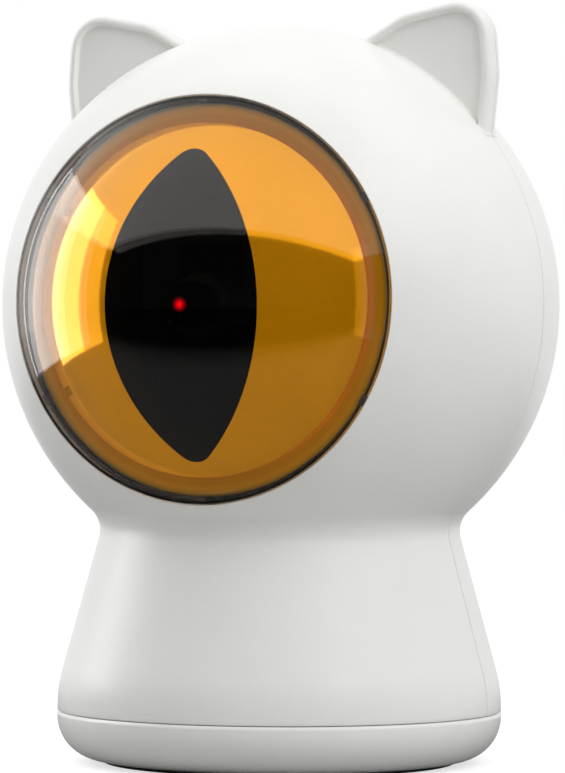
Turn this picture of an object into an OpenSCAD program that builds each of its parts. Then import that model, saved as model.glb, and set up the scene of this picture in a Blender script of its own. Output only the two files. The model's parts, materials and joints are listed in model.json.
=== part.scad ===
// Automatic cat laser toy: a round head with two ears on a flared base, and one big
// amber eye with a laser that pans and tilts behind its pupil. Millimetres, Z up.
// The origin is on the ground under the middle of the base, and the eye looks along -Y.

/* [Body] */
// Radius of the round head
head_r = 40; // [38:0.5:44]
// Height of the head's centre above the ground
head_z = 65.5; // [65:0.5:68]
// Radius of the neck at its narrowest
neck_r = 25.9; // [25:0.1:28]
// Radius of the hollow round the neck
neck_fillet = 4; // [3:0.5:6]
// Slope of the flared base from upright, in degrees
flare_angle = 15.3; // [14:0.1:17]
// Radius of the curve from the flare into the upright edge
belly_curve = 21; // [18:1:24]
// Radius of the base at its widest
base_r = 31.85; // [31.5:0.05:34]
// Radius of the rounded lower edge
edge_r = 6.2; // [5.6:0.1:6.4]
// Thickness of the casing
wall = 2; // [1.6:0.1:2.4]
// Height of the seam between the base cap and the shells
seam_z = 7.5; // [7:0.1:8]
// Width of the fine gap along every seam
seam_gap = 0.2; // [0.1:0.05:0.3]
// Width of the lap that closes a seam from inside
lap = 1.5; // [1:0.1:2]

/* [Ears] */
// Thickness of an ear from front to back
ear_t = 5.4; // [4.6:0.1:6]
// How far the ear's middle lies in front of the side seam
ear_forward = 0.4; // [0:0.1:0.8]
// Radius of the rounded tip
ear_tip_r = 5; // [4:0.1:6]
// How far the tip's centre stands beyond the head
ear_rise = 6.6; // [5:0.1:8]
// The same for the bulge of the edge towards the cheek
ear_cheek_rise = 4.4; // [3.8:0.1:4.8]
// The same for the bulge of the edge towards the crown
ear_crown_rise = 3.6; // [3:0.1:4]
// Radius of an ear's rounded edges
ear_round = 1; // [0.6:0.1:1.4]
// Direction of the tip from the head's centre, in degrees above level
ear_tip_angle = 53.7; // [50:0.1:57]
// Direction of the root that is nearer the crown
ear_inner_angle = 70.5; // [68:0.1:73]
// Direction of the root that is nearer the cheek
ear_outer_angle = 35; // [33:0.1:37]
// How deep both roots reach into the head
ear_root = 4.5; // [4:0.1:6]
// Width of the raised rim round the ear's front
ear_rim = 1.6; // [1.2:0.1:2]
// Depth of the panel inside that rim
ear_dish = 0.8; // [0.4:0.1:1.2]

/* [Eye] */
// Radius of the clear dome's rim
lens_r = 28.05; // [27:0.05:28.5]
// Thickness of the clear dome
lens_t = 1.6; // [1.2:0.1:1.8]
// Width of the dome's flange behind the casing
lens_flange = 2.5; // [2:0.1:3]
// Gap round the dome in the casing
lens_gap = 0.1; // [0.05:0.05:0.15]
// Air gap between the clear dome and the iris
iris_gap = 2.2; // [2:0.1:2.4]
// Thickness of the iris
iris_t = 1.2; // [1:0.1:1.3]
// Radius of the iris dome inside its flange
iris_r = 24.05; // [23.5:0.05:24.3]
// Drop from the iris dome to its flange
iris_step = 1; // [0.8:0.1:1.2]
// Width of the pupil
pupil_w = 22.4; // [20:0.2:24]
// Height that the pupil would have with pointed ends
pupil_h = 44; // [43:0.5:45]
// Radius of the pupil's rounded ends
pupil_tip_r = 3; // [2.6:0.1:3.2]
// How far the pupil and the laser lie below the head's centre
pupil_drop = 0.8; // [0.5:0.1:1.1]
// Number of clips on the lens retainer
clip_count = 6; // [4:1:8]
// Width of one clip
clip_w = 1.4; // [1:0.1:2]

/* [Laser head] */
// Distance of the pan axis in front of the head's centre
pan_y = 24; // [23.5:0.1:24.2]
// Radius of the laser barrel
barrel_r = 3; // [2.6:0.1:3.1]
// Length of the barrel in front of the tilt axis, nose included
barrel_front = 10.5; // [9.5:0.1:10.6]
// Length of the barrel behind the tilt axis
barrel_back = 4.5; // [4:0.1:4.6]
// Half of the clear width between the yoke's arms
arm_in = 6.5; // [6.4:0.1:7]
// Thickness of each yoke arm
arm_t = 2; // [1.8:0.1:2.2]
// Height of the yoke's top plate above the tilt axis
yoke_h = 8.6; // [8.4:0.1:9]
// Radius of the tilt trunnions and the pan pin
pin_r = 1.5; // [1.3:0.1:1.6]
// Radial clearance of every running pin
pin_gap = 0.05; // [0.03:0.01:0.08]

/* [Gears] */
// Tooth module of both gear pairs
gear_m = 0.5; // [0.48:0.01:0.52]
// Teeth of the full circle of the pan sector
pan_teeth = 48; // [46:1:50]
// Teeth of the full circle of the tilt sector
tilt_teeth = 36; // [36:1:37]
// Teeth of each pinion
pinion_teeth = 12; // [12:1:13]
// Width of all teeth along their axis
gear_w = 2; // [1.6:0.1:2.2]
// Free play between meshed teeth
backlash = 0.12; // [0.08:0.01:0.16]

/* [Motors] */
// Radius of the pan motor
pan_motor_r = 7.5; // [6.5:0.1:7.6]
// Height of the pan motor
pan_motor_h = 8; // [6:0.5:10]
// Radius of the tilt motor
tilt_motor_r = 5; // [4.5:0.1:5.1]
// Length of the tilt motor
tilt_motor_l = 11; // [9:0.5:11.5]
// Radius of both motor shafts
shaft_r = 0.75; // [0.6:0.05:0.9]

/* [Batteries] */
// Radius of one AA cell
cell_r = 7.25; // [7.1:0.01:7.3]
// Length of one AA cell with its nub
cell_l = 50.5; // [49.8:0.1:50.6]
// Radial clearance of a cell in its tube
cell_gap = 0.15; // [0.1:0.05:0.25]
// Thickness of the tubes' walls
tube_t = 1.1; // [0.9:0.1:1.2]
// Height of the cells' lower ends above the ground
cell_z = 4.9; // [4.8:0.1:5.2]

/* [Base] */
// How far the rubber ring stands below the base cap
foot_proud = 0.5; // [0.4:0.1:0.8]
// Inner radius of the rubber ring
foot_in = 21.9; // [21.9:0.1:22.2]
// Width of the rubber ring
foot_w = 3.6; // [3.2:0.1:3.8]
// Half of the battery door's width
door_half = 17.6; // [17.4:0.1:17.8]
// Radius of the battery door's corners
door_corner = 10; // [9.5:0.1:11]
// Thickness of the battery door
door_t = 1.6; // [1.4:0.1:1.8]
// Gap round the battery door
door_gap = 0.3; // [0.2:0.05:0.4]

/* [Back] */
// Height of the power button's middle above the ground
button_z = 24.5; // [23.5:0.5:25]
// Radius of the power button
button_r = 4.4; // [3.8:0.1:4.6]
// How far the button stands proud of the casing
button_proud = 0.4; // [0.2:0.1:0.8]
// Travel of the button
button_travel = 0.5; // [0.3:0.1:0.6]
// Distance from the button down the slope to the supply inlet
inlet_down = 9.8; // [9.4:0.1:10.2]

/* [Hidden] */
$fn = 64;

// Small overlap that joins solids, a length beyond any cut, and the excess of tangent arcs
JOIN = 0.4;
FAR = 200;
HAIR = 0.001;
// Facets of rounded hulls
HULL_FN = 32;
// Radius of small screws' shanks, heads and holes in the bosses, and their heads' height
screw_r = 1;
screw_head_r = 1.75;
pilot_r = screw_r + 0.02;
screw_head_h = 1.3;
// Wall round a pilot hole
boss_t = 1.4;
boss_r = screw_r + boss_t;

WHITE = [0.93, 0.93, 0.91];
AMBER = [0.85, 0.52, 0.06];
BLACK = [0.06, 0.06, 0.07];
GREY = [0.35, 0.36, 0.38];
STEEL = [0.74, 0.75, 0.77];
BRASS = [0.80, 0.62, 0.28];
BOARD = [0.05, 0.33, 0.17];
RUBBER = [0.12, 0.12, 0.13];
NYLON = [0.86, 0.85, 0.80];

// ---- Body outline ---------------------------------------------------------------

function unit(v) = v / norm(v);

base_z = foot_proud;
head_c = [0, head_z];
neck_c = [
    neck_r + neck_fillet,
    head_z - sqrt(pow(head_r + neck_fillet, 2) - pow(neck_r + neck_fillet, 2))
];
flare_n = [cos(flare_angle), sin(flare_angle)];
belly_x = base_r - belly_curve;
belly_c = [
    belly_x,
    neck_c[1] - (neck_fillet + belly_curve + (belly_x - neck_c[0]) * flare_n[0]) / flare_n[1]
];
// Radius of the flare's outer face at a height
function flare_r(z) = neck_c[0] - (neck_fillet + (z - neck_c[1]) * flare_n[1]) / flare_n[0];

// Radius and centre of the hollow round the neck, drawn in by inset. It gets tighter inside
// the wall, which keeps it below the eye's opening.
function hollow_r(inset) = max(neck_fillet - inset, 0.8);
function hollow_c(inset) =
    let (
        along = [-flare_n[1], flare_n[0]],
        start = neck_c - (neck_fillet + inset - hollow_r(inset)) * flare_n,
        lead = start - head_c,
        reach = head_r - inset + hollow_r(inset)
    )
    start - (lead * along + sqrt(pow(lead * along, 2) - lead * lead + reach * reach)) * along;

// Right half of the body's section, drawn in by inset all round. Every arc is a hair larger
// than its tangents need, so that each corner is a clean crossing.
module body_section(inset) {
    hollow = hollow_c(inset);
    along = [-flare_n[1], flare_n[0]];
    into_head = hollow + (hollow_r(inset) + 3) * unit(head_c - hollow);
    into_flare = hollow - (hollow_r(inset) + 3) * flare_n;
    flare_top = hollow - hollow_r(inset) * flare_n + 2 * along;
    flare_end = belly_c + (belly_curve - inset) * flare_n;
    edge_c = [base_r - edge_r, base_z + edge_r];
    difference() {
        union() {
            intersection() {
                translate(head_c) circle(head_r - inset);
                translate([0, head_z - head_r]) square([head_r, 2 * head_r]);
            }
            polygon([[0, into_head[1]], into_head, hollow, into_flare, [0, into_flare[1]]]);
            polygon([
                [0, flare_top[1]], flare_top, flare_end, belly_c,
                [belly_c[0], belly_c[1] - 0.5], [0, belly_c[1] - 0.5]
            ]);
        }
        translate(hollow) circle(hollow_r(inset) + HAIR);
    }
    intersection() {
        translate(belly_c) circle(belly_curve - inset + HAIR);
        translate([0, belly_c[1] - 1]) square([base_r, belly_curve + 1]);
    }
    translate([0, edge_c[1]]) square([base_r - inset, belly_c[1] - edge_c[1]]);
    translate([0, base_z + inset]) square([edge_c[0], edge_r - inset + 0.3]);
    translate(edge_c) circle(edge_r - inset + HAIR);
}

module body_solid(inset) {
    rotate_extrude() body_section(inset);
}

// Everything in front of, behind, above or below a plane
module front_of(y) {
    translate([-FAR / 2, y - FAR, 0]) cube(FAR);
}

module behind(y) {
    translate([-FAR / 2, y, 0]) cube(FAR);
}

module above(z) {
    translate([-FAR / 2, -FAR / 2, z]) cube(FAR);
}

module below(z) {
    translate([-FAR / 2, -FAR / 2, z - FAR]) cube(FAR);
}

module ring(outer, inner, height) {
    difference() {
        cylinder(r = outer, h = height);
        translate([0, 0, -1]) cylinder(r = inner, h = height + 2);
    }
}

// Screw along +Z from the underside of its head, which has a driver socket
module screw(length, head = screw_head_r) {
    difference() {
        union() {
            translate([0, 0, -screw_head_h]) cylinder(r = head, h = screw_head_h);
            cylinder(r = screw_r, h = length);
        }
        for (turn = [0, 90])
            rotate(turn) translate([-head * 0.6, -0.2, -screw_head_h - 1]) cube([head * 1.2, 0.4, 1.6]);
    }
}

// ---- Frames of the sub-assemblies -----------------------------------------------

// Local Z looks out of the eye, local Y is up
module eye_frame() {
    translate([0, 0, head_z]) rotate([90, 0, 0]) children();
}

// Local Z is the casing's outward normal at the back, local Y runs down the slope
module back_frame() {
    translate([0, flare_r(button_z), button_z]) rotate([flare_angle - 90, 0, 0]) children();
}

laser_z = head_z - pupil_drop;
pinion_r = gear_m * pinion_teeth / 2;
pan_r = gear_m * pan_teeth / 2;
tilt_r = gear_m * tilt_teeth / 2;
mesh_play = 0.05;
pan_centre = pan_r + pinion_r + mesh_play;
tilt_centre = tilt_r + pinion_r + mesh_play;

// Pan axis through the origin, tilt axis at height 0 along X
module laser_frame() {
    translate([0, -pan_y, laser_z]) children();
}

// Local Z runs along +X, from the middle of the laser head
module across() {
    rotate([0, 90, 0]) children();
}

// ---- Ears -----------------------------------------------------------------------

function polar(radius, angle) = [radius * cos(angle), radius * sin(angle)];
ear_half = ear_t / 2;
ear_tip = polar(head_r + ear_rise, ear_tip_angle);
ear_edges = [
    polar(head_r - ear_root, ear_inner_angle),
    polar(head_r + ear_crown_rise, ear_tip_angle + 8.2),
    polar(head_r + ear_cheek_rise, ear_tip_angle - 6.7),
    polar(head_r - ear_root, ear_outer_angle)
];

module ear_frame(side) {
    translate([0, -ear_forward, head_z])
        mirror([side < 0 ? 1 : 0, 0, 0])
            rotate([90, 0, 0]) children();
}

// Disc of the ear's thickness with a rounded edge
module ear_disc(radius) {
    flat = radius - ear_round;
    rotate_extrude($fn = HULL_FN) {
        translate([0, -ear_half]) square([flat, ear_t]);
        translate([0, ear_round - ear_half]) square([radius, ear_t - 2 * ear_round]);
        for (side = [-1, 1]) translate([flat, side * (ear_half - ear_round)]) circle(ear_round, $fn = 20);
    }
}

// Plate with rounded edges through the tip, the bulges and the roots, and a shallow
// panel in its front face inside the rim
module ear(side) {
    ear_frame(side) difference() {
        hull() {
            translate(ear_tip) ear_disc(ear_tip_r);
            for (place = ear_edges) translate(place) ear_disc(ear_half);
        }
        translate([0, 0, ear_half - ear_dish]) linear_extrude(ear_half) hull() {
            translate(ear_tip) circle(ear_tip_r - ear_rim, $fn = HULL_FN);
            for (place = ear_edges) translate(place) circle(ear_half - ear_rim, $fn = HULL_FN);
        }
    }
}

// ---- Casing ---------------------------------------------------------------------

// Places of the upright base screws, the level shell screws and the chassis screws
base_screw_r = foot_in + foot_w / 2;
base_head_r = 1.6;
base_boss_h = 12.5;
shell_screw_x = 20.5;
shell_screw_z = 25;
shell_head_y = 8;
chassis_y = 3;
chassis_t = 2;
chassis_low = [33.5, -3.5];
chassis_high = [22, 26];
chassis_places = [for (side = [-1, 1]) for (p = [chassis_low, chassis_high]) [side * p[0], p[1]]];
retainer_angles = [90, 210, 330];
retainer_place_r = lens_r + lens_flange + 2.85;
shell_base = seam_z + seam_gap / 2;
cap_top = seam_z - seam_gap / 2;
head_inner = head_r - wall;
retainer_depth = sqrt(pow(head_inner, 2) - pow(retainer_place_r, 2)) - 2.5;

module base_bosses(front) {
    for (side = [-1, 1]) rotate(front ? -90 + 45 * side : 90 + 45 * side) {
        translate([base_screw_r, 0, shell_base]) cylinder(r = boss_r, h = base_boss_h);
        // Rib that ties the boss to the casing above the cap's lap
        translate([base_screw_r, -0.75, shell_base + 3.5]) cube([base_r - base_screw_r, 1.5, base_boss_h - 3.5]);
    }
}

module base_boss_holes() {
    for (turn = [45:90:315]) rotate(turn)
        translate([base_screw_r, 0, shell_base - 1]) cylinder(r = pilot_r, h = base_boss_h - 1);
}

// Solid of the bosses, kept inside the casing's outer face
module inside_casing() {
    intersection() {
        children();
        body_solid(wall / 2);
    }
}

module front_shell() {
    color(WHITE) difference() {
        union() {
            intersection() {
                difference() {
                    union() {
                        body_solid(0);
                        for (side = [-1, 1]) ear(side);
                    }
                    body_solid(wall);
                }
                front_of(-seam_gap / 2);
                above(shell_base);
            }
            inside_casing() union() {
                base_bosses(true);
                for (side = [-1, 1])
                    translate([side * shell_screw_x, -seam_gap / 2, shell_screw_z])
                        rotate([90, 0, 0]) cylinder(r = boss_r, h = base_r);
                eye_frame() for (place = chassis_places)
                    translate([place[0], place[1], -chassis_y]) cylinder(r = boss_r, h = head_r);
                eye_frame() for (turn = retainer_angles) rotate(turn)
                    translate([retainer_place_r, 0, retainer_depth]) cylinder(r = boss_r - 0.2, h = head_r);
            }
        }
        // Round seat of the lens
        eye_frame() cylinder(r = lens_r + lens_gap, h = 2 * head_r);
        base_boss_holes();
        for (side = [-1, 1])
            translate([side * shell_screw_x, 1, shell_screw_z]) rotate([90, 0, 0]) cylinder(r = pilot_r, h = 12);
        eye_frame() for (place = chassis_places)
            translate([place[0], place[1], -chassis_y - 1]) cylinder(r = pilot_r, h = 9);
        eye_frame() for (turn = retainer_angles) rotate(turn)
            translate([retainer_place_r, 0, retainer_depth - 1]) cylinder(r = pilot_r, h = 4.5);
    }
}

module rear_shell() {
    boss_depth = flare_r(shell_screw_z);
    color(WHITE) difference() {
        union() {
            intersection() {
                difference() {
                    union() {
                        body_solid(0);
                        for (side = [-1, 1]) ear(side);
                    }
                    body_solid(wall);
                }
                behind(seam_gap / 2);
                above(shell_base);
            }
            seam_lap();
            inside_casing() union() {
                base_bosses(false);
                for (side = [-1, 1])
                    translate([side * shell_screw_x, seam_gap / 2, shell_screw_z])
                        rotate([-90, 0, 0]) cylinder(r = boss_r + 0.6, h = base_r);
                back_frame() for (side = [-1, 1])
                    translate([side * board_screw_x, board_screw_y, -board_depth])
                        cylinder(r = boss_r - 0.4, h = board_depth);
            }
        }
        base_boss_holes();
        for (side = [-1, 1]) translate([side * shell_screw_x, 0, shell_screw_z]) rotate([-90, 0, 0]) {
            translate([0, 0, -1]) cylinder(r = screw_r + 0.1, h = base_r);
            translate([0, 0, shell_head_y - screw_head_h]) cylinder(r = screw_head_r + 0.3, h = boss_depth);
        }
        back_frame() {
            translate([0, 0, -wall - 2]) cylinder(r = button_r + pin_gap, h = 4 + wall);
            translate([0, inlet_down, -wall - 2]) stadium(inlet_w / 2 + 0.3, inlet_h / 2 + 0.3, 4 + wall);
            for (side = [-1, 1]) translate([side * board_screw_x, board_screw_y, -board_depth - 1])
                cylinder(r = pilot_r, h = 4);
        }
    }
}

// Thin lap on the rear shell that closes the side seam from inside
module seam_lap() {
    intersection() {
        difference() {
            body_solid(wall - JOIN);
            body_solid(wall + 1.2);
        }
        translate([0, seam_gap / 2, 0]) rear_band(lap);
        above(shell_base + 4.5);
    }
    intersection() {
        difference() {
            body_solid(wall + 0.1);
            body_solid(wall + 1.2);
        }
        translate([0, -lap, 0]) rear_band(2 * lap);
        above(shell_base + 4.5);
    }
}

module rear_band(depth) {
    translate([-FAR / 2, 0, 0]) cube([FAR, depth, FAR]);
}

// ---- Base cap, foot and door ----------------------------------------------------

plate_top = base_z + wall;
foot_seat = 0.8;
hinge_r = 1.3;
hinge_y = door_half + hinge_r;
hinge_z = base_z + 1.5;
knuckle_half = 6;
stub_r = 0.8;
stub_l = 2.3;
lug_gap = 0.3;
hinge_reach = knuckle_half + stub_l + 0.2;
tab_half = 4.5;
tab_l = 1.6;
tab_t = 0.8;
post_places = [[door_half + 2.6, 0], [-door_half - 2.6, 0], [0, -door_half - 2.6]];
post_r = 1.9;
flange_z = cell_z + 1;
flange_t = 1.5;
head_floor = plate_top + 0.3;

module rounded_square(half, corner) {
    square([2 * half, 2 * (half - corner)], center = true);
    square([2 * (half - corner), 2 * half], center = true);
    for (x = [-1, 1]) for (y = [-1, 1])
        translate([x * (half - corner), y * (half - corner)]) circle(corner);
}

module base_cap() {
    color(WHITE) difference() {
        union() {
            intersection() {
                difference() {
                    body_solid(0);
                    intersection() {
                        body_solid(wall);
                        above(plate_top);
                    }
                }
                below(cap_top);
            }
            // Lap that stands inside both shells
            translate([0, 0, edge_r]) ring(base_r - wall - 0.25, base_r - wall - 1.5, seam_z - edge_r + 2);
            translate([0, 0, edge_r]) ring(base_r - wall / 2, base_r - wall - 1.5, cap_top - edge_r);
            for (turn = [45:90:315]) rotate(turn) translate([base_screw_r, 0, plate_top - JOIN])
                cylinder(r = boss_r + 0.2, h = cap_top - plate_top + JOIN);
            for (place = post_places) translate([place[0], place[1], plate_top - JOIN])
                cylinder(r = post_r, h = flange_z - plate_top + JOIN);
            for (side = [-1, 1])
                translate([side * (knuckle_half + lug_gap + 1.3) - 1.3, hinge_y - hinge_r, plate_top - JOIN])
                    cube([2.6, 2 * hinge_r, JOIN + 1.8]);
        }
        // Door opening, hinge pocket and finger notch
        translate([0, 0, base_z - 1]) linear_extrude(wall + 2)
            rounded_square(door_half + door_gap, door_corner + door_gap);
        translate([-knuckle_half - lug_gap, door_half - 1, base_z - 1])
            cube([2 * (knuckle_half + lug_gap), hinge_y + hinge_r + door_gap - door_half + 1, 6]);
        // Room for the door's edge as it swings
        for (room = [
            [knuckle_half + 4.5, hinge_y], [knuckle_half + 5.5, door_half + 0.65],
            [knuckle_half + 6, door_half + 0.4], [knuckle_half + 7.5, door_half - 0.4]
        ])
            translate([-room[0], door_half - 2, base_z - 1]) cube([2 * room[0], room[1] - door_half + 2, 1.85]);
        translate([-tab_half - door_gap, -door_half - tab_l - door_gap, base_z - 1])
            cube([2 * (tab_half + door_gap), tab_l + 2, 1 + tab_t + door_gap]);
        translate([-hinge_reach, hinge_y, hinge_z]) across() cylinder(r = stub_r + pin_gap, h = 2 * hinge_reach);
        // Groove of the rubber ring, then the screws' holes in it
        translate([0, 0, base_z - 1]) ring(foot_in + foot_w, foot_in, 1 + foot_seat);
        for (turn = [45:90:315]) rotate(turn) translate([base_screw_r, 0, 0]) {
            cylinder(r = base_head_r + 0.1, h = head_floor + screw_head_h);
            cylinder(r = screw_r + 0.15, h = seam_z + 1);
        }
        for (place = post_places) translate([place[0], place[1], plate_top])
            cylinder(r = pilot_r, h = flange_z);
    }
}

module foot_ring() {
    bevel = 0.4;
    inner = foot_in + 0.05;
    outer = foot_in + foot_w - 0.05;
    top = base_z + foot_seat;
    color(RUBBER) rotate_extrude() polygon([
        [inner + bevel, 0], [outer - bevel, 0], [outer, bevel], [outer, top],
        [inner, top], [inner, bevel]
    ]);
}

module battery_door() {
    door_top = base_z + door_t;
    color(WHITE) {
        difference() {
            union() {
                translate([0, 0, base_z]) linear_extrude(door_t) rounded_square(door_half, door_corner);
                translate([-knuckle_half, hinge_y, hinge_z]) across() cylinder(r = hinge_r, h = 2 * knuckle_half);
                translate([-knuckle_half, door_half - 1, hinge_z - 1]) cube([2 * knuckle_half, 2, 1.6]);
                translate([-knuckle_half - stub_l, hinge_y, hinge_z]) across()
                    cylinder(r = stub_r, h = 2 * (knuckle_half + stub_l));
                translate([-tab_half, -door_half - tab_l + door_gap, base_z]) cube([2 * tab_half, tab_l + 2, tab_t]);
            }
            // Bevel that lets the edge beside the hinge swing past the cap
            for (side = [-1, 1]) translate([side > 0 ? knuckle_half : -FAR, 0, 0]) rotate([90, 0, 90])
                linear_extrude(FAR - knuckle_half) polygon([
                    [door_half - 1.1, base_z - 0.2], [door_half + 0.5, base_z - 0.2], [door_half + 0.5, base_z + 2.3]
                ]);
            // Grip grooves on the outer face
            for (row = [0:2]) translate([-5, -door_half + 3 + 1.8 * row, base_z - 1]) cube([10, 0.7, 1.4]);
        }
    }
}

// ---- Batteries ------------------------------------------------------------------

tube_in = cell_r + cell_gap;
tube_out = tube_in + tube_t;
cell_ring = (2 * tube_in + tube_t) / sqrt(3);
cell_angles = [90, 210, 330];
cell_top = cell_z + cell_l;
contact_t = 0.4;
holder_roof = 1.2;
holder_top = cell_top + contact_t + holder_roof;

module at_cells() {
    for (turn = cell_angles) rotate(turn) translate([cell_ring, 0, 0]) children();
}

module battery_holder() {
    color(BLACK) difference() {
        union() {
            translate([0, 0, flange_z]) {
                linear_extrude(holder_top - flange_z) {
                    at_cells() circle(tube_out);
                    circle(cell_ring - 4);
                }
                linear_extrude(flange_t) {
                    circle(door_half + 0.7);
                    for (place = post_places) translate(place) circle(post_r + 0.3);
                }
            }
        }
        at_cells() cylinder(r = tube_in, h = cell_top + contact_t);
        for (place = post_places) translate([place[0], place[1], flange_z - 1])
            cylinder(r = screw_r + 0.1, h = flange_t + 2);
        // Slots for the wires of the top contacts
        at_cells() translate([-1.5, -0.6, cell_top - 6]) cube([3, 1.2, 6 + contact_t + holder_roof + 1]);
    }
}

module cell() {
    nub = 1;
    cylinder(r = cell_r, h = cell_l - nub);
    cylinder(r = 2.75, h = cell_l);
}

module battery_cells() {
    color([0.20, 0.45, 0.30]) for (turn = cell_angles) rotate(turn) translate([cell_ring, 0, cell_z])
        if (turn == 90) translate([0, 0, cell_l]) mirror([0, 0, 1]) cell();
        else cell();
}

module top_contacts() {
    color(STEEL) at_cells() translate([0, 0, cell_top]) difference() {
        cylinder(r = cell_r - 0.8, h = contact_t);
        translate([0, 0, -1]) cylinder(r = 1, h = 3);
    }
}

// Sprung strips on the door, one below each cell
module door_contacts() {
    door_top = base_z + door_t;
    rise = cell_z - 0.3 - door_top;
    color(STEEL) at_cells() translate([-4, -2.5, door_top]) rotate([90, 0, 90]) translate([0, 0, 0])
        linear_extrude(8) polygon([
            [0, 0], [5, 0], [5, 0.4], [0.9, 0.4], [3.4, rise - 0.5], [5, rise - 0.5],
            [5, rise], [3, rise], [0, 0.9]
        ]);
}

module holder_screws() {
    color(STEEL) for (place = post_places)
        translate([place[0], place[1], flange_z + flange_t]) rotate([180, 0, 0]) screw(flange_t + 2.6, 1.7);
}

module base_screws() {
    color(STEEL) for (turn = [45:90:315]) rotate(turn)
        translate([base_screw_r, 0, head_floor + screw_head_h]) screw(seam_z + 2, base_head_r);
}

module shell_screws() {
    color(STEEL) for (side = [-1, 1])
        translate([side * shell_screw_x, shell_head_y - screw_head_h, shell_screw_z])
            rotate([90, 0, 0]) screw(shell_head_y + 6);
}

// ---- Eye ------------------------------------------------------------------------

lens_in = head_r - lens_t;
iris_out = lens_in - iris_gap;
iris_in = iris_out - iris_t;
flange_out = head_inner - 0.1;
flange_in = flange_out - lens_t;
rim_in = lens_r - 0.85;
iris_edge = rim_in - 0.6;
iris_flange_s = sqrt(pow(iris_out, 2) - pow(iris_r, 2)) - iris_step;
retainer_in = iris_r - 1.25;
retainer_top = iris_flange_s - iris_t - 0.05;
retainer_t = 1.4;
pad_place = retainer_depth - retainer_t;
// Radius at which the retainer's curved band passes through its pads
pad_join = sqrt(pow(flange_in - 0.1 - retainer_t / 2, 2) - pow(pad_place + retainer_t / 2, 2));
window_gap = 0.05;
arc_r = (pow(pupil_w / 2, 2) + pow(pupil_h / 2, 2)) / pupil_w;
arc_x = arc_r - pupil_w / 2;
tip_y = sqrt(pow(arc_r - pupil_tip_r, 2) - pow(arc_x, 2));
// Height at which the round tip takes over from the arcs
tip_cut = tip_y * arc_r / (arc_r - pupil_tip_r);

// Ring between two radii in the section of a body turned about the eye's axis
module band(outer, inner, low, high) {
    intersection() {
        difference() {
            circle(outer);
            circle(inner);
        }
        translate([low, 0]) square([high - low, outer]);
    }
}

module lens_dome() {
    color([0.95, 0.93, 0.86, 0.35]) eye_frame() rotate_extrude() {
        band(head_r, lens_in, 0, lens_r);
        band(flange_out, flange_in, rim_in, lens_r + lens_flange);
        band(head_r, flange_in, rim_in, lens_r);
    }
}

// Upright spindle between two arcs, with rounded ends
module pupil_shape(grow = 0) {
    translate([0, -pupil_drop]) {
        intersection() {
            translate([-arc_x, 0]) circle(arc_r + grow);
            translate([arc_x, 0]) circle(arc_r + grow);
            square([pupil_w + 2 * grow, 2 * tip_cut], center = true);
        }
        for (side = [-1, 1]) translate([0, side * tip_y]) circle(pupil_tip_r + grow);
    }
}

module iris_dome() {
    color(AMBER) eye_frame() difference() {
        rotate_extrude() {
            intersection() {
                band(iris_out, iris_in, 0, iris_r);
                translate([0, iris_flange_s - iris_t]) square([iris_r, iris_out]);
            }
            // Skirt and flange
            intersection() {
                translate([iris_r - iris_t, iris_flange_s - iris_t]) square([iris_t, iris_out]);
                circle(iris_out);
            }
            translate([iris_r - iris_t, iris_flange_s - iris_t]) square([iris_edge - iris_r + iris_t, iris_t]);
        }
        linear_extrude(2 * head_r) pupil_shape();
    }
}

module pupil_window() {
    color(BLACK) eye_frame() intersection() {
        rotate_extrude() band(iris_out - 0.02, iris_in, 0, iris_r);
        linear_extrude(2 * head_r) pupil_shape(-window_gap);
    }
}

module lens_retainer() {
    clip_in = iris_edge + 0.15;
    color(BLACK) eye_frame() difference() {
        union() {
            rotate_extrude() {
                translate([retainer_in, retainer_top - retainer_t]) square([rim_in - 0.1 - retainer_in, retainer_t]);
                band(flange_in - 0.1, flange_in - 0.1 - retainer_t, iris_edge + 0.05, pad_join);
            }
            for (turn = retainer_angles) rotate(turn) {
                intersection() {
                    translate([retainer_place_r, 0, pad_place]) cylinder(r = boss_r, h = retainer_t);
                    sphere(head_inner - 0.2);
                }
                translate([pad_join - 1.6, -boss_r, pad_place])
                    cube([retainer_place_r - pad_join + 1.6, 2 * boss_r, retainer_t]);
            }
            // Clips that reach forward round the iris
            for (i = [0:clip_count - 1]) rotate(90 + i * 360 / clip_count) intersection() {
                translate([clip_in, -clip_w / 2, retainer_top - retainer_t])
                    cube([rim_in - 0.05 - clip_in, clip_w, head_r]);
                sphere(lens_in - 0.15);
            }
        }
        for (turn = retainer_angles) rotate(turn) {
            translate([retainer_place_r, 0, pad_place - 1]) cylinder(r = screw_r + 0.1, h = 4);
            translate([retainer_place_r, 0, pad_place - 4]) cylinder(r = screw_head_r + 0.2, h = 4);
            translate([retainer_place_r, 0, retainer_depth]) cylinder(r = boss_r + 0.1, h = head_r);
        }
        // Room for the casing's bosses that carry the chassis
        for (place = chassis_places) translate(place) cylinder(r = boss_r + 0.2, h = head_r);
    }
}

module retainer_screws() {
    color(STEEL) eye_frame() for (turn = retainer_angles) rotate(turn)
        translate([retainer_place_r, 0, pad_place]) screw(retainer_t + 2.8);
}

// ---- Gears ----------------------------------------------------------------------

pressure = 20;
addendum = 0.85;
dedendum = 1.15;
function involute(angle) = tan(angle) * 180 / PI - angle;
// Half of a tooth's angle at a radius, thinned by half the play
function tooth_half(teeth, radius) =
    let (pitch = gear_m * teeth / 2, root = pitch * cos(pressure), at = max(radius, root))
    90 / teeth - backlash / 4 / pitch * 180 / PI + involute(pressure) - involute(acos(root / at));

function tooth(teeth, middle) =
    let (
        pitch = gear_m * teeth / 2,
        radii = [pitch - dedendum * gear_m, pitch - 0.5 * gear_m, pitch, pitch + addendum * gear_m]
    )
    concat(
        [for (i = [0:3]) polar(radii[i], middle - tooth_half(teeth, radii[i]))],
        [for (i = [3:-1:0]) polar(radii[i], middle + tooth_half(teeth, radii[i]))]
    );

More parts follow.
